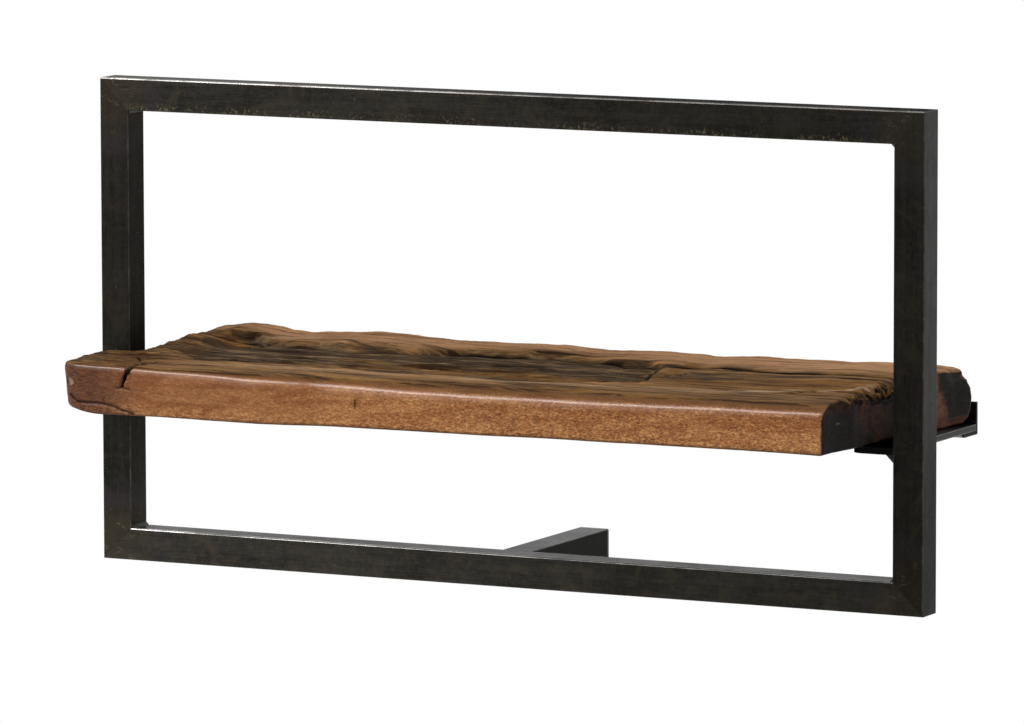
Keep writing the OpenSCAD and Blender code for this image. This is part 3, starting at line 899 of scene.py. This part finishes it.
def wornEdge(gap, depth, drop):
    if gap >= depth:
        return 0.0
    return drop * (1 - math.sqrt(max(0.0, 1 - (1 - gap / depth) ** 2)))


def roundedCorner(x, y, cornerX, cornerY, radius, sideX, sideY):
    # eases a square corner of the outline into a round one
    a = (sideX * (x - cornerX) + radius) / radius
    b = (sideY * (y - cornerY) + radius) / radius
    if a <= 0 or b <= 0:
        return x, y
    a, b = min(a, 1), min(b, 1)
    aRound, bRound = a * math.sqrt(1 - b * b / 2), b * math.sqrt(1 - a * a / 2)
    return x - sideX * radius * (a - aRound), y - sideY * radius * (b - bRound)


def spacing(count, weight):
    # places from 0 to 1 that lie closer where the weight is larger
    steps = count * 8  # fine enough for an even change of distance
    density = [0.0]
    for i in range(steps):
        density.append(density[-1] + weight((i + 0.5) / steps))
    places, j = [], 0
    for k in range(count + 1):
        wanted = density[-1] * k / count
        while j < steps - 1 and density[j + 1] < wanted:
            j += 1
        places.append((j + clamp((wanted - density[j]) / (density[j + 1] - density[j]))) / steps)
    return places


def boardGrid(columns, rows, lobeColumns, frontRows, wallRows):
    # a block of even cells with its back left corner left out, from 0 to 1 each way
    bm = bmesh.new()
    bmesh.ops.create_grid(bm, x_segments=columns, y_segments=rows, size=0.5)
    bmesh.ops.translate(bm, verts=bm.verts, vec=(0.5, 0.5, 0))
    notched = [
        face for face in bm.faces
        if face.calc_center_median().x * columns < lobeColumns
        and face.calc_center_median().y * rows > frontRows
    ]
    bmesh.ops.delete(bm, geom=notched, context="FACES")
    grown = bmesh.ops.extrude_face_region(bm, geom=bm.faces[:])["geom"]
    raised = [item for item in grown if isinstance(item, bmesh.types.BMVert)]
    bmesh.ops.translate(bm, verts=raised, vec=(0, 0, 1))
    uprightEdges = [edge for edge in bm.edges if abs(edge.verts[0].co.z - edge.verts[1].co.z) > 0.5]
    bmesh.ops.subdivide_edges(bm, edges=uprightEdges, cuts=wallRows, use_grid_fill=True)
    print("board grid:", len(bm.verts), "points")
    under = [face for face in bm.faces if max(vert.co.z for vert in face.verts) < 1e-6]
    bmesh.ops.dissolve_faces(bm, faces=under, use_verts=False)
    print("underside closed:", len(bm.verts), "points left")
    return bm


def topDrop(x, y, frontGap, gaps):
    # how far the top is worn down towards its edges
    ragged = 1 + uneven("rim", x, y)
    drops = [wornEdge(frontGap, along(board["wearDepth"], x), along(board["wearDrop"], x))]
    for edge, gap in gaps.items():
        depth, drop = board["rimWear"][edge]
        drops.append(wornEdge(gap, depth * ragged, drop * ragged))
    return math.sqrt(sum(drop * drop for drop in drops))


def boardMesh():
    lobeColumns, bodyColumns = board["columns"]
    frontRows, backRows = board["rows"]
    wallRows = board["wallRows"]
    columns, rows = lobeColumns + bodyColumns, frontRows + backRows
    # the body's columns crowd round the split on the left and at the right end
    bodyPlaces = spacing(bodyColumns, lambda t: 1 + 1.6 * bump(t, 0.06, 0.035) + 1.3 * bump(t, 1.0, 0.05))
    frontPlaces = spacing(frontRows, lambda t: 1 + 3.5 * bump(t, 0.0, 0.1))
    backPlaces = spacing(backRows, lambda t: 1 + 1.5 * bump(t, 1.0, 0.05))
    wallPlaces = spacing(wallRows + 1, lambda t: 1 + 3.0 * bump(t, 0.0, 0.06) + 1.0 * bump(t, 1.0, 0.1))
    leftEnd, bodyLeft, notchLine = board["leftEnd"], board["bodyLeft"], board["notchLine"]
    frontGuess, backRadius = board["frontGuess"], board["backRadius"]

    bm = boardGrid(columns, rows, lobeColumns, frontRows, wallRows)
    layers = {name: bm.verts.layers.float.new(name) for name in masksKept}
    for vert in bm.verts:
        i, j = round(vert.co.x * columns), round(vert.co.y * rows)
        w = wallPlaces[round(vert.co.z * (wallRows + 1))]
        onLobe = j <= frontRows
        atLeft, atBodyLeft = i == 0 and onLobe, i == lobeColumns and j >= frontRows
        atNotch = j == frontRows and i <= lobeColumns
        atRight, atFront, atBack = i == columns, j == 0, j == rows
        rim = atLeft or atBodyLeft or atNotch or atRight or atFront or atBack
        # place seen from above
        rowShare = frontPlaces[j] if onLobe else backPlaces[j - frontRows]
        if onLobe:
            yGuess = frontGuess + (notchLine - frontGuess) * rowShare
        else:
            yGuess = notchLine + (board["backLine"] - notchLine) * rowShare
        right = rightLine(yGuess)
        if i <= lobeColumns:
            x = leftEnd + (bodyLeft - leftEnd) * i / lobeColumns
        else:
            x = bodyLeft + (right - bodyLeft) * bodyPlaces[i - lobeColumns]
        front, back = frontLine(x), backEdge(x)
        y = front + (notchLine - front) * rowShare if onLobe else notchLine + (back - notchLine) * rowShare
        flatX, flatY = x, y
        lobeRadius = board["lobeRadius"] + board["lobeUndercut"] * (1 - w)
        x, y = roundedCorner(x, y, leftEnd, front, lobeRadius, -1, -1)
        x, y = roundedCorner(x, y, right, back, backRadius, 1, 1)
        x, y = roundedCorner(x, y, bodyLeft, back, backRadius, -1, 1)
        x, y = roundedCorner(x, y, right, front, board["frontRightRadius"], 1, -1)
        # outward direction where the place is on the rim
        outward = Vector((0, 0))
        if rim:
            outward += Vector((-1, 0)) * (atLeft or atBodyLeft)
            outward += Vector((0, 1)) * (atBack or atNotch)
            outward += Vector((1, -0.06)) * atRight
            outward += Vector((0, -1)) * atFront
            lobeX, lobeY = leftEnd + lobeRadius, front + lobeRadius
            if (atLeft or atFront) and flatX < lobeX and flatY < lobeY:
                outward = Vector((x - lobeX, y - lobeY))
            backX, backY = right - backRadius, back - backRadius
            if (atRight or atBack) and flatX > backX and flatY > backY:
                outward = Vector((x - backX, y - backY))
            if outward.length > 0:
                outward.normalize()
        top, masks = topSurface(x, y)
        frontGap = flatY - front
        leftSide, leftLine = ("lobe", leftEnd) if onLobe else ("body", bodyLeft)
        gaps = {"back": back - flatY, leftSide: flatX - leftLine, "right": right - flatX}
        if onLobe and i <= lobeColumns:
            gaps["notch"] = notchLine - flatY
        top -= topDrop(x, y, frontGap, gaps)
        # the underside rises under the lobe, and a little beside it
        lift = 2.4 * ease(*board["lobeLift"], x) + 0.7 * bump(x, -250, 45) * ease(*board["besideLobe"], y)
        foot = board["foot"] + lift * ease(*board["liftFront"], y)
        if not rim:
            z = top if w > 0.5 else foot
        else:
            z = foot + (top - foot) * w
            rise = z - foot
            bevel = board["bottomBevel"] * (1 + 0.35 * wave(x * 0.05, y * 0.05, 0, 18))
            bevel += 3.0 * ease(*board["lobeBevel"], x)
            inset = bevel * (1 - math.sqrt(max(0.0, 1 - (1 - min(rise / bevel, 1)) ** 2)))
            sideWave = 0.35 * rough(x * 0.02, y * 0.02, z * 0.08, 19, 3)
            if atRight and not atFront:
                sideWave *= 0.25
            push = sideWave - inset
            if atFront and -300 < x < 300:
                push -= 0.5 * ease(6, 0, rise)
            if atBack:
                push -= 1.0 * bump(z, 20, 8) * wave(x * 0.04, z * 0.1, 0, 21)
            x += outward.x * push
            y += outward.y * push
            masks["crackShade"] *= ease(top - (1.5 if atFront else 3.5), top - 0.3, z)
            # the split on the left runs down the front face, with painted shade in it and round the rim of
            # the nick
            if atFront or (atLeft and flatY < -225):
                depth, dark = faceCracks(x, z)
                hollow, nickDepth = nickAt(x, z), board["nick"]["depth"]
                y += depth * (0.2 + 0.8 * ease(top - 1, top - 6, z)) + nickDepth * hollow * 0.6
                x += nickDepth * hollow
                masks["crackShade"] = max(masks["crackShade"], dark, 0.7 * bump(hollow, 0.3, 0.12))
                masks["pale"] = 0.6 * ease(0.4, 0.9, hollow)
        nearEnd = ease(*board["cornerX"], right - flatX) * ease(*board["cornerY"], flatY)
        x += nearEnd * along(board["cornerShape"], z)
        if not rim and w < 0.5:
            masks = {}
        wornReach = along(board["wearDepth"], x)
        masks["endGrain"] = 1.0 if (atRight and w < 0.999) else 0.0
        wornGap = frontGap + 1.6 * wave(x * 0.022, y * 0.05, 0, 24)
        masks["worn"] = ease(wornReach * 0.62, wornReach * 0.26, wornGap)
        masks["skin"] = 1.0 if (rim and w < 0.999) or w < 0.5 else 0.0
        for name in masksKept:
            vert[layers[name]] = masks.get(name, 0.0)
        vert.co = (x, y, z)
    bmesh.ops.scale(bm, vec=(0.001, 0.001, 0.001), verts=bm.verts)
    bmesh.ops.recalc_face_normals(bm, faces=bm.faces)
    for face in bm.faces:
        face.smooth = len(face.verts) < 5
    mesh = bpy.data.meshes.new("reclaimedBoard")
    bm.to_mesh(mesh)
    bm.free()
    return mesh


# Wood finish

woodLook = {
    "faceDark": (0.140, 0.058, 0.024),
    "faceMid": (0.315, 0.132, 0.050),
    "faceLight": (0.58, 0.30, 0.118),
    "lobeDark": (0.034, 0.014, 0.011),
    "lobeWarm": (0.105, 0.042, 0.024),
    "seamDark": (0.038, 0.017, 0.007),
    "topDark": (0.040, 0.022, 0.011),
    "topTan": (0.170, 0.092, 0.036),
    "wornBrown": (0.098, 0.047, 0.019),
    "ridgeDark": (0.125, 0.058, 0.026),
    "ridgeTan": (0.300, 0.165, 0.080),
    "goldDark": (0.056, 0.023, 0.0065),
    "gold": (0.155, 0.077, 0.020),
    "pale": (0.34, 0.235, 0.145),
    "channelDark": (0.031, 0.0195, 0.0105),
    "channelGrey": (0.118, 0.080, 0.045),
    "endDark": (0.0200, 0.0182, 0.0176),
    "endGrey": (0.0370, 0.0335, 0.0305),
    "endBrown": (0.026, 0.0135, 0.0100),
    "endRed": (0.092, 0.034, 0.019),
    "endRust": (0.24, 0.115, 0.074),
    # near black of the painted shade in the cracks
    "crackShade": (0.0035, 0.0022, 0.0015),
    # what the colour under them is multiplied by
    "leftTint": (0.72, 0.70, 0.74),
    "figureTint": (0.62, 0.46, 0.40),
    "sunnedTint": (1.22, 1.22, 1.25),
    "brightGold": (1.3, 1.25, 1.15),
    "rightChannel": (0.80, 0.76, 0.70),
    "grooveLight": (1.7, 1.6, 1.45),
    "grooveDark": (0.36, 0.30, 0.26),
    "fibreLight": (1.5, 1.45, 1.4),
    "fibreDark": (0.45, 0.42, 0.40),
    # darkening of the upright's painted shadow on the right end
    "uprightShadowTint": (0.30, 0.28, 0.28),
    "relief": 0.0006,
    "coatRoughness": 0.245,
    # the pale scar on the right end: its middle, and its size as cells per millimetre
    "scar": (299, -197, 13),
    "scarScale": (0, 0.30, 0.85),
}

# the stretch over which an effect comes in: from and to in millimetres, and how strong it is at both
woodSpans = {
    "clearGrain": (-230, 40, 0.35, 0.95),
    "leftShade": (-90, -240, 0.0, 0.8),
    "lowGold": (6.0, -7.0, 0.0, 0.6),
    "footShade": (-5.2, -8.2, 0.0, 0.75),
    "lobeSkin": (-222, -290, 0.0, 0.88),
    "sunnedRidge": (60, 230),
    "rightChannel": (-40, 60),
    "brightGold": (190, 300),
    "lobeTop": (-262, -300),
    "furrowFront": (-205, -180, 0.35, 1.0),
    "furrowRight": (90, 140, 1.0, 0.35),
    "redFront": (-172, -140),
    "redBack": (-43, -50),
    "backFringe": (-16, -9),
    "lowFringe": (1, -6),
    "rear": (-60, -40),
    "topRim": (19, 25),
    "topRimFront": (-100, -140, 0.0, 0.7),
    "frontRim": (-217, -223, 0.0, 0.6),
    "frontRimFoot": (4, 14),
    "rustBack": (-34, -44),
    "rustFront": (-80, -70),
    "uprightShadowFront": (-136, -124),
    "uprightShadowBack": (-78, -92),
    "glitter": (-190, 60, 0.25, 0.75),
}

# cells per millimetre in x, y and z, detail, roughness and twist
woodGrain = {
    "pores": ((0.55, 1.5, 1.25), 3.0, 0.6, 0.6),
    "fleck": ((0.26, 0.7, 0.62), 4.0, 0.62, 0.9),
    "figure": ((0.013, 0.05, 0.07), 4.0, 0.55, 1.2),
    "curl": ((0.10, 0.22, 0.24), 4.0, 0.65, 2.2),
    "dots": ((0.46, 0.95, 0.9), 2.0, 0.5, 0.7),
    "streak": ((0.012, 0.36, 0.10), 6.0, 0.62, 0.3),
    "stripe": ((0.005, 0.12, 0.03), 4.0, 0.55, 0.2),
    "thread": ((0.03, 1.2, 0.4), 4.0, 0.65),
    "breaks": ((0.05, 0.3, 0.3), 4.0, 0.6, 0.6),
    "haze": ((0.010, 0.06, 0.03), 4.0, 0.6, 0.5),
    "groove": ((0.018, 0.17, 0.05), 3.0, 0.6, 0.25),
    "mottle": ((0.05, 0.11, 0.10), 5.0, 0.65, 1.0),
    "fibre": ((0.09, 1.9, 0.8), 3.0, 0.6),
    "ring": ((0.05, 0.045, 0.045), 4.0, 0.6, 0.8),
    "cloud": ((0.05, 0.11, 0.13), 4.0, 0.6, 0.8),
    "sawn": ((0.4, 0.16, 0.7), 4.0, 0.6),
    "wander": ((0.010, 0.09, 0.02), 4.0, 0.6),
    "blot": ((0.024, 0.12, 0.10), 4.0, 0.6, 0.8),
    "gilt": ((0.032, 0.14, 0.12), 3.0, 0.6, 0.6),
}


def faceGrain(grain, xyz, look):
    # planed and oiled face: short dark pores over a warm figure
    clear = spread(xyz[0], *woodSpans["clearGrain"])
    layers = [
        (times(spread(grain["pores"], 0.50, 0.36), clear), "faceDark"),
        (times(spread(grain["fleck"], 0.50, 0.68), clear), "faceLight"),
        (spread(grain["curl"], 0.52, 0.66, 0.0, 0.35), "faceLight"),
        (times(spread(grain["dots"], 0.45, 0.34, 0.0, 0.85), clear), "faceDark"),
        (times(spread(grain["dots"], 0.56, 0.70, 0.0, 0.7), clear), "faceLight"),
    ]
    colour = look["faceMid"]
    for mask, shade in layers:
        colour = blend(mask, colour, look[shade])
    colour = tinted(spread(xyz[0], *woodSpans["leftShade"]), colour, look["leftTint"])
    colour = tinted(spread(grain["figure"], 0.42, 0.58, 0.0, 0.6), colour, look["figureTint"])
    # light flecks along the lower edge, and painted shade at its rounded foot
    lowGold = times(spread(xyz[2], *woodSpans["lowGold"]), spread(grain["fleck"], 0.44, 0.60))
    colour = blend(lowGold, colour, look["faceLight"])
    colour = blend(spread(xyz[2], *woodSpans["footShade"]), colour, look["topDark"])
    # the darker skin of the left lobe
    lobeEdge = plus(xyz[0], times(grain["figure"], 60))
    lobeSkin = blend(spread(grain["curl"], 0.38, 0.62), look["lobeDark"], look["lobeWarm"])
    lobeSkin = blend(spread(grain["fleck"], 0.44, 0.62, 0.0, 0.35), lobeSkin, look["faceDark"])
    return blend(spread(lobeEdge, *woodSpans["lobeSkin"]), colour, lobeSkin)


def topGrain(tree, grain, xyz, look):
    # weathered top: long streaks, a dark channel, a tan ridge and golden wood
    streak, groove, fibre, mottle = (grain[name] for name in ("streak", "groove", "fibre", "mottle"))
    ridge = painted(tree, "ridge")
    lines = plus(times(streak, 0.4), times(grain["stripe"], 0.25), times(groove, 0.35))
    colour = blend(spread(lines, 0.40, 0.55), look["topDark"], look["topTan"])
    ridgeTop = blend(spread(lines, 0.37, 0.50), look["ridgeDark"], look["ridgeTan"])
    ridgeTop = blend(spread(grain["haze"], 0.52, 0.66, 0.0, 0.6), ridgeTop, look["ridgeDark"])
    ridgeTop = tinted(spread(xyz[0], *woodSpans["sunnedRidge"]), ridgeTop, look["sunnedTint"])
    colour = blend(ridge, colour, ridgeTop)
    channelTop = blend(spread(lines, 0.46, 0.62), look["channelDark"], look["channelGrey"])
    channelTop = tinted(spread(xyz[0], *woodSpans["rightChannel"]), channelTop, look["rightChannel"])
    colour = blend(painted(tree, "channel"), colour, channelTop)
    goldTop = blend(spread(lines, 0.40, 0.57), look["goldDark"], look["gold"])
    goldTop = tinted(spread(xyz[0], *woodSpans["brightGold"]), goldTop, look["brightGold"])
    goldMask = times(painted(tree, "gold"), spread(grain["breaks"], 0.36, 0.56, 0.6, 1.0))
    colour = blend(goldMask, colour, goldTop)
    paleMask = times(painted(tree, "pale"), spread(streak, 0.40, 0.58, 0.3, 1.0))
    colour = blend(paleMask, colour, look["pale"])
    # the shade paint: darker wood, and painted shadow at the foot of the back ridge
    shadeMask = times(painted(tree, "shade"), spread(streak, 0.62, 0.42, 0.65, 1.0))
    colour = blend(shadeMask, colour, look["channelDark"])
    lobe = spread(xyz[0], *woodSpans["lobeTop"])
    colour = blend(times(lobe, spread(mottle, 0.58, 0.42, 0.0, 0.85)), colour, look["seamDark"])
    colour = blend(times(lobe, spread(mottle, 0.54, 0.66, 0.0, 0.6)), colour, look["gold"])
    colour = blend(spread(grain["thread"], 0.43, 0.36, 0.0, 0.75), colour, look["channelDark"])
    # light and dark lines along the furrows, fainter on the ridge, in front and at the right
    furrowed = times(minus(1.0, times(ridge, 0.55)), spread(xyz[1], *woodSpans["furrowFront"]),
                     spread(xyz[0], *woodSpans["furrowRight"]))
    lightLine = times(spread(groove, 0.56, 0.64, 0.0, 0.75), furrowed)
    colour = tinted(lightLine, colour, look["grooveLight"])
    darkLine = times(spread(groove, 0.44, 0.38, 0.0, 0.85), furrowed)
    colour = tinted(darkLine, colour, look["grooveDark"])
    colour = tinted(spread(fibre, 0.42, 0.62, 0.0, 0.45), colour, look["fibreLight"])
    colour = tinted(spread(fibre, 0.46, 0.34, 0.0, 0.5), colour, look["fibreDark"])
    # the shade paint again over the lines: darker wood and painted shadow at the ridge foot
    colour = blend(times(shadeMask, 0.45), colour, look["channelDark"])
    return colour, plus(times(streak, 1.6), times(grain["thread"], 0.9), times(fibre, 0.5))


def endGrainTone(place, grain, xyz, look):
    # sawn right end: charred core, red-brown wood behind it and along the edges, and a painted shadow beside
    # the upright
    sawn, cloud = grain["sawn"], grain["cloud"]
    ragged = plus(xyz[1], times(minus(grain["ring"], 0.5), 30))
    slanted = plus(ragged, times(xyz[2], 0.9))
    core = blend(spread(sawn, 0.3, 0.75), look["endDark"], look["endGrey"])
    core = blend(spread(cloud, 0.42, 0.60, 0.0, 0.5), core, look["endGrey"])
    scarPlace = vectors("MULTIPLY", vectors("SUBTRACT", place, look["scar"]), look["scarScale"])
    scar = spread(vectors("LENGTH", scarPlace), 1.0, 0.6, 0.0, 0.35)
    core = blend(scar, core, look["pale"])
    red = blend(spread(cloud, 0.40, 0.62), look["endBrown"], look["endRed"])
    red = blend(spread(sawn, 0.55, 0.40, 0.0, 0.35), red, look["endBrown"])
    behind = times(spread(slanted, *woodSpans["redFront"]), spread(ragged, *woodSpans["redBack"]))
    fringe = largest(spread(ragged, *woodSpans["backFringe"]), spread(xyz[2], *woodSpans["lowFringe"]))
    rear = times(fringe, spread(ragged, *woodSpans["rear"]))
    topRim = times(spread(xyz[2], *woodSpans["topRim"]), spread(ragged, *woodSpans["topRimFront"]))
    frontRim = times(spread(ragged, *woodSpans["frontRim"]), spread(xyz[2], *woodSpans["frontRimFoot"]))
    colour = blend(largest(behind, rear, topRim, frontRim), core, red)
    # behind the upright the edges of the end are rust brown round a grey core
    lower = plus(ragged, times(xyz[2], 0.25))
    strip = times(spread(lower, *woodSpans["rustBack"]), spread(ragged, *woodSpans["rustFront"]))
    strip = times(largest(strip, rear), spread(cloud, 0.36, 0.52, 0.6, 1.0))
    colour = blend(strip, colour, look["endRust"])
    # painted shadow of the upright on the end face, next to it
    uprightShadow = times(spread(xyz[1], *woodSpans["uprightShadowFront"]), spread(xyz[1], *woodSpans["uprightShadowBack"]))
    return tinted(uprightShadow, colour, look["uprightShadowTint"])


def woodMaterial():
    material, tree = newMaterial("reclaimedWood")
    look = woodLook
    place = millimetres(tree)
    xyz, upward = axes(place), axes(normalOf(tree))[2]
    grain = speckles(place, woodGrain)
    cracks, endGrain, worn = painted(tree, "crackShade"), painted(tree, "endGrain"), painted(tree, "worn")
    face = faceGrain(grain, xyz, look)
    top, topRelief = topGrain(tree, grain, xyz, look)
    # the worn front edge carries the warm face wood up on to the top in waves
    wander = grain["wander"]
    wornHere = spread(plus(worn, times(wander, 0.9)), 0.78, 1.12, 0.0, 0.9)
    skin = largest(spread(painted(tree, "skin"), 0.3, 0.9), wornHere)
    brown = blend(spread(upward, 0.62, 0.9, 0.0, 0.85), face, look["wornBrown"])
    brown = blend(spread(wander, 0.55, 0.66, 0.0, 0.5), brown, look["goldDark"])
    colour = blend(skin, top, blend(spread(upward, 0.55, 0.8), face, brown))
    # a wavy dark and golden seam runs where the planed edge meets the weathered top
    seam = times(worn, minus(1.0, worn), 4.0)
    giltMask = times(seam, spread(grain["gilt"], 0.44, 0.56, 0.0, 0.8))
    colour = blend(giltMask, colour, look["gold"])
    colour = blend(times(seam, spread(grain["blot"], 0.45, 0.55)), colour, look["seamDark"])
    pale = times(painted(tree, "pale"), spread(upward, 0.5, 0.2))
    colour = blend(pale, colour, look["pale"])
    colour = blend(endGrain, colour, endGrainTone(place, grain, xyz, look))
    # painted shade in the cracks, chips and splinters and at the nick
    colour = blend(spread(cracks, 0.12, 0.62), colour, look["crackShade"])
    # oil shines on the planed skin, most on the rounded edge
    weather = minus(1.0, skin)
    oiled = times(skin, minus(1.0, endGrain), spread(cracks, 0.4, 0.05))
    polish = times(spread(upward, 0.30, 0.64, 0.10, 1.0), spread(upward, 0.79, 0.69))
    coat = plus(times(oiled, polish), 0.02)
    dry = times(spread(grain["pores"], 0.62, 0.38), 0.12)
    roughness = plus(0.45, times(weather, 0.3), dry)
    # the pores show less on the rounded edge, most of all at its left
    glitter = spread(xyz[0], *woodSpans["glitter"])
    relief = plus(times(grain["pores"], 0.16), times(grain["fleck"], 0.2))
    relief = times(relief, spread(upward, 0.75, 0.35, glitter, 1.0))
    relief = plus(relief, times(topRelief, weather))
    relief = times(relief, spread(endGrain, 0.2, 0.9, 1.0, 0.3))
    finishMaterial(
        tree, colour, roughness, relief, look["relief"],
        constants={"Specular IOR Level": 0.02, "Coat Roughness": look["coatRoughness"], "Coat IOR": 1.5},
        linked={"Coat Weight": coat},
    )
    return material


boardObject = bpy.data.objects.new("reclaimed_board", boardMesh())
bpy.context.scene.collection.objects.link(boardObject)
boardObject.data.materials.append(woodMaterial())
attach(boardObject, "root")
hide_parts("shelf_board")
print("board made:", len(boardObject.data.polygons), "faces")


# Stage, light and camera

stage = {
    "floorHeight": -0.55,
    "floorCentre": 0.12,
    "floorRadius": 1.1,
    # the floor fades to white between these shares of its radius
    "fadeStart": 0.55,
    "fadeEnd": 0.98,
    "floorColour": (0.86, 0.86, 0.86),
    "white": (1, 1, 1),
    "ambient": 0.40,
}


def makeFloor():
    radius = stage["floorRadius"]
    bm = bmesh.new()
    bmesh.ops.create_circle(bm, cap_ends=True, segments=96, radius=radius)
    bmesh.ops.translate(bm, verts=bm.verts, vec=(0, -stage["floorCentre"], stage["floorHeight"]))
    mesh = bpy.data.meshes.new("studioFloor")
    bm.to_mesh(mesh)
    bm.free()
    floor = bpy.data.objects.new("studio_floor", mesh)
    bpy.context.scene.collection.objects.link(floor)
    material, tree = newMaterial("paleFloor")
    place = addNode(tree, "ShaderNodeTexCoord").outputs["Object"]
    flat = vectors("MULTIPLY", vectors("ADD", place, (0, stage["floorCentre"], 0)), (1, 1, 0))
    rim = spread(vectors("LENGTH", flat), radius * stage["fadeStart"], radius * stage["fadeEnd"])
    matte = addNode(tree, "ShaderNodeBsdfDiffuse", {"Color": stage["floorColour"]}).outputs[0]
    white = addNode(tree, "ShaderNodeEmission", {"Color": stage["white"], "Strength": 1.0}).outputs[0]
    seen = addNode(tree, "ShaderNodeMixShader", {0: rim, 1: matte, 2: white}).outputs[0]
    output = addNode(tree, "ShaderNodeOutputMaterial")
    tree.links.new(seen, output.inputs[0])
    mesh.materials.append(material)


def makeWorld():
    world = bpy.data.worlds.new("studioWorld")
    bpy.context.scene.world = world
    world.use_nodes = True
    tree = world.node_tree
    tree.nodes.clear()
    rays = addNode(tree, "ShaderNodeLightPath").outputs
    seen = largest(rays["Is Camera Ray"], rays["Is Glossy Ray"], rays["Is Transmission Ray"])
    soft, white = (
        addNode(tree, "ShaderNodeBackground", {"Color": stage["white"], "Strength": strength}).outputs[0]
        for strength in (stage["ambient"], 1.0)
    )
    both = addNode(tree, "ShaderNodeMixShader", {0: seen, 1: soft, 2: white}).outputs[0]
    output = addNode(tree, "ShaderNodeOutputWorld")
    tree.links.new(both, output.inputs[0])


lamps = {
    "keyLamp": {"from": (-1.5, -2.6, 1.3), "at": (0, -0.15, 0.05), "size": (1.6, 1.4), "power": 52},
    "stripLamp": {"from": (-0.80, -0.77, 1.38), "at": (0, -0.22, 0.02), "size": (1.15, 0.32), "power": 15,
                  "colour": (1.0, 0.93, 0.90)},
    "backLamp": {"from": (0.2, 1.15, 1.35), "at": (0, -0.12, 0.03), "size": (1.4, 0.7), "power": 16},
}


def makeLamp(name, spec):
    data = bpy.data.lights.new(name, "AREA")
    data.shape = "RECTANGLE"
    data.size, data.size_y = spec["size"]
    data.energy = spec["power"]
    data.color = spec.get("colour", (1, 1, 1))
    lamp = bpy.data.objects.new(name, data)
    ahead = (Vector(spec["at"]) - Vector(spec["from"])).normalized()
    across = (Vector((1, 0, 0)) - ahead * ahead.x).normalized()
    turn = Matrix((across, across.cross(ahead), -ahead)).transposed()
    lamp.matrix_world = Matrix.Translation(spec["from"]) @ turn.to_4x4()
    bpy.context.scene.collection.objects.link(lamp)


view = {
    "place": (2.682226, -5.503872, 0.77166),
    "azimuth": 26.582,
    "elevation": 6.983,
    "roll": 0.116,
    "lens": 278.0,
    "sensor": 36,
    "clip": (0.05, 50),
}


def makeCamera():
    data = bpy.data.cameras.new("viewCamera")
    data.lens = view["lens"]
    data.sensor_width = view["sensor"]
    data.clip_start, data.clip_end = view["clip"]
    camera = bpy.data.objects.new("viewCamera", data)
    a, e, r = (math.radians(view[name]) for name in ("azimuth", "elevation", "roll"))
    ahead = Vector((-math.sin(a) * math.cos(e), math.cos(a) * math.cos(e), -math.sin(e)))
    right = Vector((math.cos(a), math.sin(a), 0))
    up = right.cross(ahead)
    across = right * math.cos(r) - up * math.sin(r)
    upward = right * math.sin(r) + up * math.cos(r)
    turn = Matrix((across, upward, -ahead)).transposed()
    camera.matrix_world = Matrix.Translation(view["place"]) @ turn.to_4x4()
    bpy.context.scene.collection.objects.link(camera)
    bpy.context.scene.camera = camera


makeFloor()
makeWorld()
for lampName, lampSpec in lamps.items():
    makeLamp(lampName, lampSpec)
makeCamera()
bpy.context.scene.view_settings.view_transform = "Standard"
print("stage, lamps and camera set")
